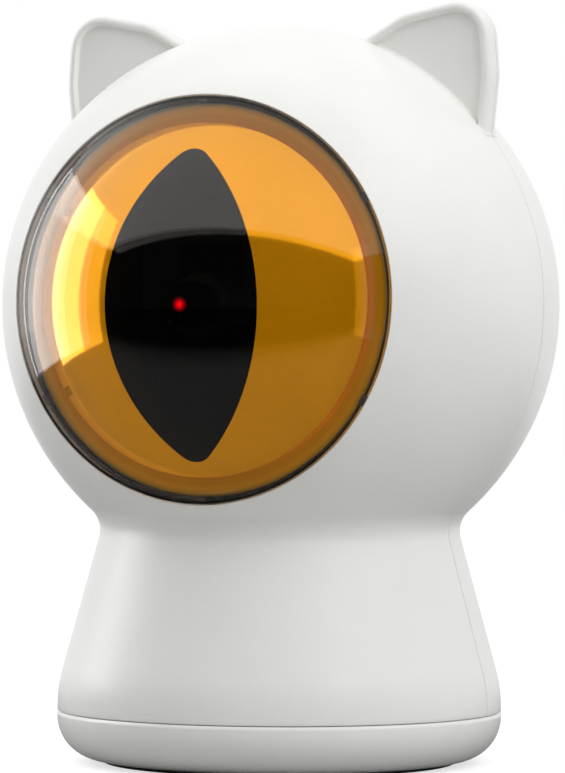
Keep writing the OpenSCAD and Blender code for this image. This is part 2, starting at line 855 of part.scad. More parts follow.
// Teeth on an arc from the first to the last tooth about angle 0
module gear_shape(teeth, first, last) {
    step = 360 / teeth;
    rim = gear_m * teeth / 2 - dedendum * gear_m;
    closed = last - first + 1 >= teeth;
    points = [for (i = [first:last]) each tooth(teeth, i * step)];
    polygon(closed ? points : concat([polar(rim * 0.2, (first + last) * step / 2)], points));
}

module pinion(phase) {
    difference() {
        linear_extrude(gear_w) rotate(phase) gear_shape(pinion_teeth, 0, pinion_teeth - 1);
        translate([0, 0, -1]) cylinder(r = shaft_r, h = gear_w + 2);
    }
}

pan_span = ceil(45 * pan_teeth / 360);
tilt_span = ceil(50 * tilt_teeth / 360);

// ---- Laser head -----------------------------------------------------------------

plate_t = 2;
pan_gear_z = yoke_h + plate_t + 1;
hub_r = pin_r + 1.9;
hub_top = pan_gear_z + gear_w + 1.4;
shelf_z = hub_top + 0.4;
shelf_t = 2;
clamp_r = tilt_motor_r + 1.2;
arm_r = 4;
cheek_x = arm_in - 0.4;
sector_x = arm_in + arm_t + 0.7;
ring_t = 0.7;
ring_z = yoke_h - 0.2 - ring_t;
tip_clear = 0.4;

module pan_yoke() {
    color(NYLON) laser_frame() difference() {
        union() {
            for (side = [-1, 1]) hull_free_arm(side);
            translate([-arm_in - arm_t, -arm_r, yoke_h]) cube([2 * (arm_in + arm_t), 2 * arm_r, plate_t]);
            translate([0, 0, yoke_h]) cylinder(r = hub_r, h = hub_top - yoke_h);
            translate([0, 0, pan_gear_z]) linear_extrude(gear_w)
                rotate(90) gear_shape(pan_teeth, -pan_span, pan_span);
            // Web under the sector
            translate([0, 0, yoke_h + plate_t - 0.1]) linear_extrude(1.2) intersection() {
                circle(pan_r - dedendum * gear_m);
                polygon([[0, 0], [-pan_r, pan_r], [pan_r, pan_r]]);
            }
            // Arm and clamp ring of the tilt motor
            translate([arm_in, 0, -arm_r]) cube([arm_t, tilt_centre, 2 * arm_r]);
            translate([arm_in - 3, tilt_centre, 0]) across() cylinder(r = clamp_r, h = 3 + arm_t);
        }
        translate([0, 0, yoke_h - 1]) cylinder(r = pin_r + pin_gap, h = hub_top);
        translate([-FAR / 2, 0, 0]) across() cylinder(r = pin_r + pin_gap, h = FAR);
        translate([arm_in - FAR, tilt_centre, 0]) across() cylinder(r = tilt_motor_r + 0.03, h = FAR);
        translate([arm_in - 1, tilt_centre, 0]) across() cylinder(r = shaft_r + 0.5, h = arm_t + 2);
    }
}

module hull_free_arm(side) {
    translate([side > 0 ? arm_in : -arm_in - arm_t, 0, 0]) {
        translate([0, -arm_r, 0]) cube([arm_t, 2 * arm_r, yoke_h + plate_t]);
        across() cylinder(r = arm_r, h = arm_t);
    }
}

module tilt_cradle() {
    front = 4;
    back = 3.5;
    sleeve = barrel_r + 1.4;
    color(NYLON) laser_frame() difference() {
        union() {
            translate([0, back, 0]) rotate([90, 0, 0]) cylinder(r = sleeve, h = front + back);
            translate([-cheek_x, -2.2, -2.2]) cube([2 * cheek_x, 4.4, 4.4]);
            translate([-arm_in - arm_t, 0, 0]) across() cylinder(r = pin_r, h = arm_in + arm_t + sector_x);
            // Toothed sector outside the right arm, teeth towards the motor
            translate([sector_x, 0, 0]) across() {
                cylinder(r = pin_r + 2, h = gear_w);
                linear_extrude(gear_w) rotate(90) gear_shape(tilt_teeth, -tilt_span, tilt_span);
            }
        }
        translate([0, FAR / 2, 0]) rotate([90, 0, 0]) cylinder(r = barrel_r + 0.03, h = FAR);
    }
}

// Axes of both motors: the pan motor's in the row frame, the tilt motor's in the yoke
module pan_motor_frame() {
    translate([0, -pan_y + pan_centre, laser_z]) children();
}

module tilt_motor_frame() {
    laser_frame() translate([0, tilt_centre, 0]) across() children();
}

ear_reach = pan_motor_r + 3;

module pan_motor() {
    shelf_top = shelf_z + shelf_t;
    color(STEEL) pan_motor_frame() difference() {
        union() {
            translate([0, 0, shelf_top]) cylinder(r = pan_motor_r, h = pan_motor_h);
            translate([-ear_reach, -2.5, shelf_top]) cube([2 * ear_reach, 5, 0.8]);
            for (side = [-1, 1]) translate([side * ear_reach, 0, shelf_top]) cylinder(r = 2.5, h = 0.8);
        }
        translate([0, 0, shelf_top - 1]) cylinder(r = shaft_r + pin_gap, h = pan_motor_h);
        for (side = [-1, 1]) translate([side * ear_reach, 0, shelf_top - 1]) cylinder(r = screw_r + 0.1, h = 3);
    }
}

module motor_screws() {
    color(STEEL) pan_motor_frame() for (side = [-1, 1])
        translate([side * ear_reach, 0, shelf_z + shelf_t + 0.8]) rotate([180, 0, 0]) screw(0.8 + shelf_t);
}

module pan_shaft() {
    color(STEEL) pan_motor_frame() translate([0, 0, pan_gear_z - 0.4])
        cylinder(r = shaft_r, h = shelf_z + shelf_t - pan_gear_z + pan_motor_h - 2);
}

module pan_pinion() {
    color(NYLON) pan_motor_frame() translate([0, 0, pan_gear_z]) pinion(-90 + 180 / pinion_teeth);
}

module pan_pin() {
    color(STEEL) laser_frame() {
        translate([0, 0, ring_z - 0.6]) cylinder(r = pin_r, h = shelf_z + shelf_t - ring_z + 0.6);
        translate([0, 0, shelf_z + shelf_t]) cylinder(r = pin_r + 1, h = 1);
    }
}

module pan_ring() {
    color(STEEL) laser_frame() translate([0, 0, ring_z]) difference() {
        cylinder(r = pin_r + 1.5, h = ring_t);
        translate([0, 0, -1]) cylinder(r = pin_r + 0.02, h = 3);
    }
}

module tilt_motor() {
    color(STEEL) tilt_motor_frame() translate([0, 0, arm_in - tilt_motor_l]) difference() {
        cylinder(r = tilt_motor_r, h = tilt_motor_l);
        translate([0, 0, 2]) cylinder(r = shaft_r + pin_gap, h = tilt_motor_l);
    }
}

module tilt_shaft() {
    start = arm_in - tilt_motor_l + 2.3;
    color(STEEL) tilt_motor_frame() translate([0, 0, start]) cylinder(r = shaft_r, h = sector_x + gear_w + 0.3 - start);
}

module tilt_pinion() {
    color(NYLON) tilt_motor_frame() translate([0, 0, sector_x]) pinion(-90 + 180 / pinion_teeth);
}

nose_r = 1.6;
nose_l = 2.1;
lens_disc_r = 1.2;

// Brass barrel with a slim nose, hollow from the back to the lens
module laser_barrel() {
    color(BRASS) laser_frame() rotate([90, 0, 0]) difference() {
        union() {
            translate([0, 0, -barrel_back]) cylinder(r = barrel_r, h = barrel_back + barrel_front - nose_l);
            cylinder(r = nose_r, h = barrel_front);
        }
        translate([0, 0, -barrel_back - 1]) cylinder(r = barrel_r - 0.8, h = 1 + barrel_back + 4);
        cylinder(r = 0.7, h = barrel_front + 1);
        translate([0, 0, barrel_front - 0.9]) cylinder(r = lens_disc_r, h = 2);
    }
}

module laser_lens() {
    color([0.85, 0.2, 0.15]) laser_frame() rotate([90, 0, 0])
        translate([0, 0, barrel_front - 0.9]) cylinder(r = lens_disc_r - 0.02, h = 0.8);
}

module laser_diode() {
    can_r = barrel_r - 0.8 - 0.03;
    color(STEEL) laser_frame() rotate([90, 0, 0]) {
        translate([0, 0, -barrel_back + 0.8]) cylinder(r = can_r, h = 1.2);
        translate([0, 0, -barrel_back + 0.8]) cylinder(r = 1.5, h = 4);
    }
}

// ---- Chassis and boards ---------------------------------------------------------

bulkhead_r = head_inner - 1.7;
bulkhead_low = holder_top + 2 - head_z;
shelf_half = ear_reach + 4.3;
standoff_h = 4;
main_board_half = 22;
board_low = -2.5;
board_high = 25.8;
wire_x = 14;
wire_r = 4;
board_t = 1.6;
main_board_y = chassis_y + chassis_t + standoff_h;
board_places = [for (x = [-1, 1]) for (z = [board_low + 3, board_high - 3]) [x * (main_board_half - 3), z]];

module chassis() {
    shelf_low = laser_z + shelf_z;
    color(GREY) difference() {
        union() {
            translate([0, chassis_y + chassis_t, head_z]) rotate([90, 0, 0]) linear_extrude(chassis_t)
                intersection() {
                    circle(bulkhead_r);
                    translate([-FAR / 2, bulkhead_low]) square([FAR, FAR]);
                }
            // Shelf that carries the pan motor and the pivot
            translate([0, 0, shelf_low]) linear_extrude(shelf_t) {
                translate([-shelf_half, -pan_y + 6]) square([2 * shelf_half, pan_y - 6 + chassis_y + JOIN]);
                translate([-4.2, -pan_y]) square([8.4, 8]);
                translate([0, -pan_y]) circle(4.2);
            }
            // Two webs that stiffen the shelf
            for (side = [-1, 1]) translate([side * (shelf_half - 0.8) - 0.8, 0, shelf_low + shelf_t - JOIN])
                rotate([90, 0, 90]) linear_extrude(1.6)
                    polygon([[-pan_y + 8, 0], [chassis_y + JOIN, 0], [chassis_y + JOIN, 9], [-2, 9]]);
            translate([0, 0, head_z]) for (place = board_places)
                translate([place[0], main_board_y, place[1]]) rotate([90, 0, 0])
                    cylinder(r = boss_r, h = standoff_h + JOIN);
        }
        laser_frame() cylinder(r = pin_r + 0.02, h = shelf_z + 2 * shelf_t);
        pan_motor_frame() {
            cylinder(r = 2.6, h = shelf_z + 2 * shelf_t);
            for (side = [-1, 1]) translate([side * ear_reach, 0, 0]) cylinder(r = pilot_r, h = shelf_z + 2 * shelf_t);
        }
        eye_frame() for (place = chassis_places)
            translate([place[0], place[1], -chassis_y - chassis_t - 1]) cylinder(r = screw_r + 0.1, h = chassis_t + 2);
        eye_frame() for (place = board_places)
            translate([place[0], place[1], -main_board_y - 1]) cylinder(r = pilot_r, h = standoff_h);
        // Holes for wires
        eye_frame() for (side = [-1, 1]) translate([side * wire_x, wire_r + 1, -FAR / 2]) cylinder(r = wire_r, h = FAR);
    }
}

module chassis_screws() {
    color(STEEL) eye_frame() for (place = chassis_places)
        translate([place[0], place[1], -chassis_y - chassis_t]) screw(chassis_t + 6);
}

module main_board() {
    color(BOARD) translate([0, main_board_y + board_t, head_z]) rotate([90, 0, 0]) difference() {
        translate([-main_board_half, board_low, 0])
            cube([2 * main_board_half, board_high - board_low, board_t]);
        for (place = board_places) translate([place[0], place[1], -1]) cylinder(r = screw_r + 0.1, h = board_t + 2);
    }
}

// Chips, plugs and a capacitor on the back of the main board
module board_parts() {
    color([0.16, 0.16, 0.18]) translate([0, main_board_y + board_t, head_z]) rotate([90, 0, 180]) {
        translate([-3.5, 9, 0]) cube([7, 7, 1]);
        translate([8, 10, 0]) cube([5, 6, 1.4]);
        translate([8, 2, 0]) cube([5, 6, 1.4]);
        for (i = [0:2]) translate([-14 + 7 * i, 20, 0]) cube([5, 4.5, 4]);
        translate([-12, 4, 0]) cylinder(r = 3, h = 6);
        translate([-2, 1.5, 0]) cube([4.6, 3, 1.8]);
    }
}

module board_screws() {
    color(STEEL) eye_frame() for (place = board_places)
        translate([place[0], place[1], -main_board_y - board_t]) screw(board_t + 2.6);
}

// ---- Switch and inlet at the back -----------------------------------------------

flange_h = 0.9;
flange_top = -wall - 0.7;
switch_h = 2;
board_depth = -flange_top + flange_h + button_travel + 0.3 + switch_h;
board_screw_x = 7.8;
board_screw_y = 5;
inlet_w = 8.94;
inlet_h = 3.26;
plunger_r = 1.6;

// Bar with round ends along X, half_w to its ends and half_h thick each way
module stadium(half_w, half_h, height) {
    straight = half_w - half_h;
    translate([-straight, -half_h, 0]) cube([2 * straight, 2 * half_h, height]);
    for (side = [-1, 1]) translate([side * straight, 0, 0]) cylinder(r = half_h, h = height);
}

module power_button() {
    color(GREY) back_frame() {
        translate([0, 0, flange_top - flange_h]) cylinder(r = button_r + 0.6, h = flange_h);
        translate([0, 0, flange_top - JOIN]) cylinder(r = button_r, h = button_proud - flange_top + JOIN);
    }
}

module switch_plunger() {
    color(BLACK) back_frame() translate([0, 0, flange_top - flange_h - 1.6]) cylinder(r = plunger_r, h = 1.6);
}

module switch_body() {
    color(STEEL) back_frame() translate([0, 0, -board_depth]) difference() {
        translate([-3, -3, 0]) cube([6, 6, switch_h]);
        translate([0, 0, 0.2]) cylinder(r = plunger_r + 0.1, h = switch_h);
    }
}

module switch_board() {
    color(BOARD) back_frame() translate([0, 0, -board_depth - board_t]) difference() {
        translate([-10.2, -7, 0]) cube([20.4, inlet_down + 11, board_t]);
        for (side = [-1, 1]) translate([side * board_screw_x, board_screw_y, -1])
            cylinder(r = screw_r + 0.1, h = board_t + 2);
    }
}

module switch_board_screws() {
    color(STEEL) back_frame() for (side = [-1, 1])
        translate([side * board_screw_x, board_screw_y, -board_depth - board_t]) screw(board_t + 2.4);
}

// Upright USB-C receptacle: a thin metal shell with a tongue
module supply_inlet() {
    skin = 0.3;
    mouth = -0.9;
    depth = board_depth + mouth;
    color(STEEL) back_frame() translate([0, inlet_down, -board_depth]) {
        difference() {
            stadium(inlet_w / 2, inlet_h / 2, depth);
            translate([0, 0, 1]) stadium(inlet_w / 2 - skin, inlet_h / 2 - skin, depth);
        }
        translate([-3.3, -0.35, 0.5]) cube([6.6, 0.7, depth - 1.2]);
    }
}

front_shell();
rear_shell();
base_cap();
foot_ring();
battery_door();
door_contacts();
base_screws();
shell_screws();
lens_dome();
iris_dome();
pupil_window();
lens_retainer();
retainer_screws();
chassis();
chassis_screws();
pan_motor();
motor_screws();
pan_shaft();
pan_pinion();
pan_pin();
pan_ring();
pan_yoke();
tilt_motor();
tilt_shaft();
tilt_pinion();
tilt_cradle();
laser_barrel();
laser_lens();
laser_diode();
battery_holder();
battery_cells();
top_contacts();
holder_screws();
main_board();
board_parts();
board_screws();
switch_board();
switch_board_screws();
switch_body();
switch_plunger();
supply_inlet();
power_button();
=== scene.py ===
"""An automatic cat laser toy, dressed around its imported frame.

A white two-part shell runs from a round head with two ears over the neck to a flared base.
A clear dome covers an amber mirror iris, and a laser pans and tilts behind its pupil.
All shapes are worked out in millimetres, with Z up and the eye looking along -Y, and become
metres when a mesh is built.
"""

from __future__ import annotations

import json
import logging
import math
from dataclasses import dataclass, field
from enum import Enum
from typing import Optional, Sequence, Union

import bmesh
import bpy
import numpy as np
from mathutils import Matrix

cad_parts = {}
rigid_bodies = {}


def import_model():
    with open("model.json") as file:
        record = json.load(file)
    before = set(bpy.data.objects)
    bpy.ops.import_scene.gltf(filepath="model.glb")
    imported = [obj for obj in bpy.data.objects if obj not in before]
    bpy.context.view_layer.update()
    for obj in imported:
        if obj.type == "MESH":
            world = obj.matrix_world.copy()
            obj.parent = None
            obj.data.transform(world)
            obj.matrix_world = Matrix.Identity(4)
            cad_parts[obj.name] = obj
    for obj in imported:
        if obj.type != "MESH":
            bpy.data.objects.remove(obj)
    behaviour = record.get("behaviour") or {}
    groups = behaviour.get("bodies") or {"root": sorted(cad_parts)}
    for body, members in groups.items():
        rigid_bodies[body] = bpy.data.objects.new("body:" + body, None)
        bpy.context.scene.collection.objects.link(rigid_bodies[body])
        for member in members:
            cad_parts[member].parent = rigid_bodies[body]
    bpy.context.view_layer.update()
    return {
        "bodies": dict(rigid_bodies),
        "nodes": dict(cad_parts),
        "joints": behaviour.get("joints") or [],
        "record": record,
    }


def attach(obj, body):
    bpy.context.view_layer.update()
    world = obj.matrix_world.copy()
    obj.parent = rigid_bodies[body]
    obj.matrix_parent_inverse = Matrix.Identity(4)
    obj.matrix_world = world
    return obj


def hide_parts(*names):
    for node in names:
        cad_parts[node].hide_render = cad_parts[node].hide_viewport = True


LOG = logging.getLogger("cat_laser_toy")
MM = 0.001
Colour = tuple[float, float, float]
Points = np.ndarray


class Slot(Enum):
    """The record's material slots that new pieces take their finish from."""

    CASING = "casing"
    RUBBER = "rubber"
    STEEL = "steel"
    CLEAR_DOME = "clear_dome"
    AMBER_MIRROR = "amber_mirror"
    DARK_WINDOW = "dark_window"
    BLACK_PLASTIC = "black_plastic"
    GREY_PLASTIC = "grey_plastic"
    NYLON = "nylon"
    BRASS = "brass"
    LASER_GLASS = "laser_glass"
    CELL_SLEEVE = "cell_sleeve"
    CIRCUIT_BOARD = "circuit_board"
    CHIP_BLACK = "chip_black"


class Side(Enum):
    """Left or right of the toy, as someone who faces the eye sees it."""

    LEFT = -1
    RIGHT = 1


class PanelUse(Enum):
    """What a lamp does: it lights soft surfaces, or it only shows in gloss and glass."""

    LIGHT = "light"
    SHINE = "shine"


class Half(Enum):
    """The shell's half, as the sign of Y on its side of the seam."""

    FRONT = -1
    REAR = 1


# ---- Meshes from grids ----------------------------------------------------------


def arc(start: float, stop: float, count: int) -> Points:
    """Evenly spaced angles.

    Args:
        start: First angle in degrees.
        stop: Last angle in degrees.
        count: Number of angles, both ends included.

    Returns:
        The angles in radians.
    """
    return np.radians(np.linspace(start, stop, count))


def join_rows(*parts: Points) -> Points:
    """Stacks lists of points that follow each other, without repeating the shared ends.

    Args:
        parts: Arrays of shape (n, k). Each starts where the one before it ends.

    Returns:
        One array of shape (m, k).
    """
    return np.concatenate([parts[0]] + [part[1:] for part in parts[1:]])


def lerp(a: Points, b: Points, share: Points) -> Points:
    """Rows of points between two rows: a plus share times the way from a to b.

    Args:
        a: Points of the first row, of shape (n, k).
        b: Points of the last row, of shape (n, k).
        share: Share of the way for each new row, of shape (m,).

    Returns:
        An array of shape (m, n, k).
    """
    s = share[:, None, None]
    return a[None] * (1 - s) + b[None] * s


def unit(v: Points) -> Points:
    """Vectors divided by their own lengths."""
    return v / np.maximum(np.linalg.norm(v, axis=-1, keepdims=True), 1e-12)


def coords(*parts: Union[Points, float]) -> Points:
    """Coordinates brought to one shape and set side by side along a new last axis."""
    return np.stack(np.broadcast_arrays(*parts), axis=-1)


def on_circle(turn: Points) -> Points:
    """Points of the unit circle at the angles given, as rows of cosine and sine."""
    return coords(np.cos(turn), np.sin(turn))


def run_lengths(loop: Points) -> Points:
    """Length of the way from a loop's first point to each of its points."""
    return np.concatenate([[0], np.cumsum(np.linalg.norm(np.diff(loop, axis=0), axis=1))])


def evenly(loop: Points, count: int) -> Points:
    """Points spaced evenly along a closed loop.

    Args:
        loop: Points of shape (n, 2), from the loop's start back to it.
        count: Number of new points.

    Returns:
        Points of shape (count, 2), each once.
    """
    length = run_lengths(loop)
    at = np.linspace(0, length[-1], count, endpoint=False)
    return np.stack([np.interp(at, length, loop[:, k]) for k in (0, 1)], axis=1)


def axes_matrix(x: Points, y: Points, z: Points, at: Points) -> Matrix:
    """Matrix of an object whose axes point along x, y and z.

    Args:
        x: Direction of its X axis.
        y: Direction of its Y axis.
        z: Direction of its Z axis.
        at: Its place in millimetres.

    Returns:
        The matrix, in metres.
    """
    rows = np.eye(4)
    rows[:3] = np.stack([x, y, z, at * MM], axis=1)
    return Matrix(rows.tolist())


def link_object(name: str, data: bpy.types.ID) -> bpy.types.Object:
    """Makes an object of a mesh, lamp or camera and links it to the scene.

    Args:
        name: Name of the new object.
        data: Its mesh, lamp or camera.

    Returns:
        The linked object.
    """
    made = bpy.data.objects.new(name, data)
    bpy.context.scene.collection.objects.link(made)
    return made


def link_smooth(mesh: bpy.types.Mesh, name: str, crease: float) -> bpy.types.Object:
    """Shades a mesh smooth between the edges sharper than crease degrees, and links it.

    Args:
        mesh: The mesh, in metres.
        name: Name of the new object.
        crease: Angle in degrees above which an edge stays sharp.

    Returns:
        The linked object.
    """
    mesh.shade_smooth()
    mesh.set_sharp_from_angle(angle=math.radians(crease))
    return link_object(name, mesh)


class Skin:
    """Collects grids of points in millimetres and welds them into one closed mesh."""

    def __init__(self) -> None:
        """Starts without a point."""
        self._points: list[Points] = []
        self._faces: list[Points] = []
        self._count = 0

    def grid(self, points: Points, keep: Optional[Points] = None) -> None:
        """Adds a grid as quads.

        Args:
            points: Array of shape (rows, columns, 3).
            keep: Which quads to keep, of shape (rows - 1, columns - 1), or None for all.
        """
        rows, columns = points.shape[:2]
        index = np.arange(rows * columns).reshape(rows, columns) + self._count
        quads = np.stack(
            [index[:-1, :-1], index[1:, :-1], index[1:, 1:], index[:-1, 1:]], axis=-1
        )
        self._points.append(points.reshape(-1, 3))
        self._faces.append(quads[keep] if keep is not None else quads.reshape(-1, 4))
        self._count += rows * columns

    def tube(self, points: Points) -> None:
        """Adds a grid whose last column joins its first.

        Args:
            points: Array of shape (rows, columns, 3), without the repeated column.
        """
        self.grid(np.concatenate([points, points[:, :1]], axis=1))

    def build(
        self, name: str, crease: float = 32.0, weld: float = 0.0015
    ) -> bpy.types.Object:
        """Welds the grids, turns their faces outwards and makes the object.

        Args:
            name: Name of the new object.
            crease: Angle in degrees above which an edge stays sharp.
            weld: Distance in millimetres below which points become one.

        Returns:
            The object, at the origin, with its place in its mesh.
        """
        mesh = bpy.data.meshes.new(name)
        mesh.from_pydata(
            np.concatenate(self._points) * MM, [], np.concatenate(self._faces).tolist()
        )
        return finish_mesh(mesh, name, crease, weld)


def finish_mesh(
    mesh: bpy.types.Mesh, name: str, crease: float, weld: float
) -> bpy.types.Object:
    """Welds a mesh, turns its faces outwards, shades it smooth and links its object.

    Args:
        mesh: The mesh, in metres.
        name: Name of the new object.
        crease: Angle in degrees above which an edge stays sharp.
        weld: Distance in millimetres below which points become one.

    Returns:
        The linked object.
    """
    work = bmesh.new()
    work.from_mesh(mesh)
    bmesh.ops.remove_doubles(work, verts=work.verts, dist=weld * MM)
    bmesh.ops.recalc_face_normals(work, faces=work.faces)
    work.to_mesh(mesh)
    work.free()
    mesh.validate()
    return link_smooth(mesh, name, crease)


def lathe(profile: Points, angles: Points) -> Points:
    """Turns a profile about the Z axis: x is r sin(angle), y is -r cos(angle), z stays.

    Args:
        profile: Radius and height of each row, of shape (rows, 2).
        angles: Angle of each column from -Y towards +X, in radians.

    Returns:
        A grid of shape (rows, columns, 3).
    """
    r, z = profile[:, :1], profile[:, 1:]
    turn = angles[None]
    return coords(r * np.sin(turn), -r * np.cos(turn), z)


def full_turn(count: int) -> Points:
    """Angles of a whole turn in radians, without the repeated last one."""
    return np.linspace(0, 2 * math.pi, count, endpoint=False)


def rounded_profile(corners: Sequence[tuple[float, float, float]], steps: int = 4) -> Points:
    """A closed profile whose corners are rounded by quadratic curves.

    Each corner is replaced by a curve that starts and ends its radius away from it along both
    sides, and bends towards the corner.

    Args:
        corners: Radius, height and rounding of each corner, in order.
        steps: Spans of each rounded corner.

    Returns:
        Points of shape (n, 2), closed by a copy of the first.
    """
    data = np.array(corners, float)
    at, size = data[:, :2], data[:, 2:]
    to_last = unit(np.roll(at, 1, axis=0) - at)
    to_next = unit(np.roll(at, -1, axis=0) - at)
    t = np.linspace(0, 1, steps + 1)[None, :, None]
    a, b, c = (at + size * to_last)[:, None], at[:, None], (at + size * to_next)[:, None]
    curve = (a * (1 - t) ** 2 + b * 2 * t * (1 - t) + c * t**2).reshape(-1, 2)
    return np.concatenate([curve, curve[:1]])


# ---- Body outline ---------------------------------------------------------------


@dataclass(frozen=True)
class BodyForm:
    """Outline shared by the head, neck and base, drawn in by an inset where asked."""

    head_r: float = 40.0
    head_z: float = 65.5
    neck_r: float = 25.9
    neck_fillet: float = 4.0
    least_hollow: float = 0.8
    flare_angle: float = 15.3
    belly_curve: float = 21.0
    base_r: float = 31.85
    wall: float = 2.0
    seam_z: float = 7.5
    seam_gap: float = 0.2
    seam_round: float = 0.14
    foot_lift: float = 0.02
    button_z: float = 24.5

    @property
    def normal(self) -> Points:
        """Outward normal of the flare, as radius and height."""
        a = math.radians(self.flare_angle)
        return np.array([math.cos(a), math.sin(a)])

    @property
    def along(self) -> Points:
        """Direction up the flare, as radius and height."""
        return np.array([-self.normal[1], self.normal[0]])

    @property
    def neck(self) -> Points:
        """Centre of the hollow round the neck."""
        reach, lead = self.head_r + self.neck_fillet, self.neck_r + self.neck_fillet
        return np.array([lead, self.head_z - math.sqrt(reach**2 - lead**2)])

    @property
    def belly(self) -> Points:
        """Centre of the curve between the flare and the upright edge.

        Returns:
            Radius and height of the centre.
        """
        x = self.base_r - self.belly_curve
        n = self.normal
        drop = self.neck_fillet + self.belly_curve + (x - self.neck[0]) * n[0]
        return np.array([x, self.neck[1] - drop / n[1]])

    @property
    def head(self) -> Points:
        """The head's centre in space."""
        return np.array([0.0, 0.0, self.head_z])

    def hollow(self, inset: float) -> tuple[Points, float]:
        """Centre and radius of the neck's hollow, where it touches the head and the flare.

        Args:
            inset: How far the outline is drawn in.

        Returns:
            The centre, as radius and height, and the hollow's radius.
        """
        radius = max(self.neck_fillet - inset, self.least_hollow)
        start = self.neck - (self.neck_fillet + inset - radius) * self.normal
        lead = start - np.array([0.0, self.head_z])
        reach = self.head_r - inset + radius
        step = lead @ self.along
        slide = step + math.sqrt(step**2 - lead @ lead + reach**2)
        return start - slide * self.along, radius

    def neck_ring(self, inset: float) -> Points:
        """Radius and height where the head runs into the hollow.

        Args:
            inset: How far the outline is drawn in.

        Returns:
            The radius and the height.
        """
        centre, _ = self.hollow(inset)
        out = unit(centre - np.array([0.0, self.head_z]))
        return np.array([0.0, self.head_z]) + (self.head_r - inset) * out

    def lower_profile(self, inset: float, foot: float, spans: int = 44) -> Points:
        """Radius and height from the neck ring down the hollow, flare and belly.

        The hollow and the belly are arcs and the flare is their common tangent. Below the
        belly the outline is upright.

        Args:
            inset: How far the outline is drawn in.
            foot: Height at which it ends.
            spans: Number of spans of the flare.

        Returns:
            Points of shape (n, 2).
        """
        centre, radius = self.hollow(inset)
        ring = self.neck_ring(inset)
        first = math.atan2(*(ring - centre)[::-1])
        last = math.pi + math.radians(self.flare_angle)
        turn = np.linspace(first, last, 13)
        neck = centre + radius * on_circle(turn)
        curve = self.belly_curve - inset
        flare_end = self.belly + curve * self.normal
        flare = neck[-1] + np.linspace(0, 1, spans + 1)[:, None] * (flare_end - neck[-1])
        ends_in_belly = foot > self.belly[1]
        stop = math.asin((foot - self.belly[1]) / curve) if ends_in_belly else 0.0
        belly = self.belly + curve * on_circle(
            np.linspace(math.radians(self.flare_angle), stop, 9)
        )
        if ends_in_belly:
            return join_rows(neck, flare, belly)
        upright = np.array([belly[-1], [belly[-1, 0], foot]])
        return join_rows(neck, flare, belly, upright)

    def radius_at(self, z: Points, inset: float) -> Points:
        """Radius of the flare and belly at a height.

        Args:
            z: Heights below the neck.
            inset: How far the outline is drawn in.

        Returns:
            The radii.
        """
        n, r = self.normal, self.belly_curve - inset
        end = self.belly + r * n
        flare = end[0] - (z - end[1]) * n[1] / n[0]
        belly = self.belly[0] + np.sqrt(np.maximum(r**2 - (z - self.belly[1]) ** 2, 0))
        upright = self.base_r - inset
        return np.where(z > end[1], flare, np.where(z > self.belly[1], belly, upright))

    def back_frame(self, height: float) -> tuple[Points, Points, Points, Points]:
        """Frame on the flare at the back: origin, X, down the slope, and outward.

        Args:
            height: Height of the origin above the ground.

        Returns:
            The origin and three unit vectors.
        """
        n = self.normal
        origin = np.array([0.0, float(self.radius_at(np.array(height), 0.0)), height])
        return (
            origin,
            np.array([1.0, 0, 0]),
            np.array([0, n[1], -n[0]]),
            np.array([0, n[0], n[1]]),
        )


# ---- Openings in the rear shell -------------------------------------------------


@dataclass(frozen=True)
class Opening:
    """A round or stadium hole through the shell, along a straight axis."""

    origin: Points
    across: Points
    down: Points
    out: Points
    half_w: float
    half_h: float

    def outline(self, directions: Points, grow: float = 0.0) -> Points:
        """Outline of the stadium in the directions given, in the hole's own plane.

        A ray from the middle meets either the straight side, at half_h over its upright part,
        or the round end, at the root of the quadratic for that end's circle.

        Args:
            directions: Unit directions in the plane, of shape (n, 2).
            grow: Added to both half sizes.

        Returns:
            Points in the plane, of shape (n, 2).
        """
        radius, shift = self.half_h + grow, self.half_w - self.half_h
        dx, dy = np.abs(directions[:, 0]), np.abs(directions[:, 1])
        end = dx * shift + np.sqrt(np.maximum((dx * shift) ** 2 - shift**2 + radius**2, 0))
        side = radius / np.maximum(dy, 1e-9)
        reach = np.where(side * dx <= shift, side, end)
        return directions * reach[:, None]

    def on_body(self, form: BodyForm, plane: Points, inset: float) -> Points:
        """Carries points of the hole's plane along its axis onto the body.

        The slide along the axis is corrected a few times by the miss in radius, divided by
        the axis's share in that direction.

        Args:
            form: The body's outline.
            plane: Points in the plane, of shape (n, 2).
            inset: How far the outline is drawn in.

        Returns:
            Points on the body, of shape (n, 3).
        """
        base = self.origin + plane[:, :1] * self.across + plane[:, 1:] * self.down
        slide = np.zeros(len(base))
        for _ in range(12):
            at = base + slide[:, None] * self.out
            r = np.hypot(at[:, 0], at[:, 1])
            radial = coords(at[:, 0] / r, at[:, 1] / r, 0.0)
            normal = radial * form.normal[0] + np.array([0, 0, 1.0]) * form.normal[1]
            miss = (form.radius_at(at[:, 2], inset) - r) * form.normal[0]
            slide = slide + miss / (normal @ self.out)
        return base + slide[:, None] * self.out


# ---- Ears -----------------------------------------------------------------------


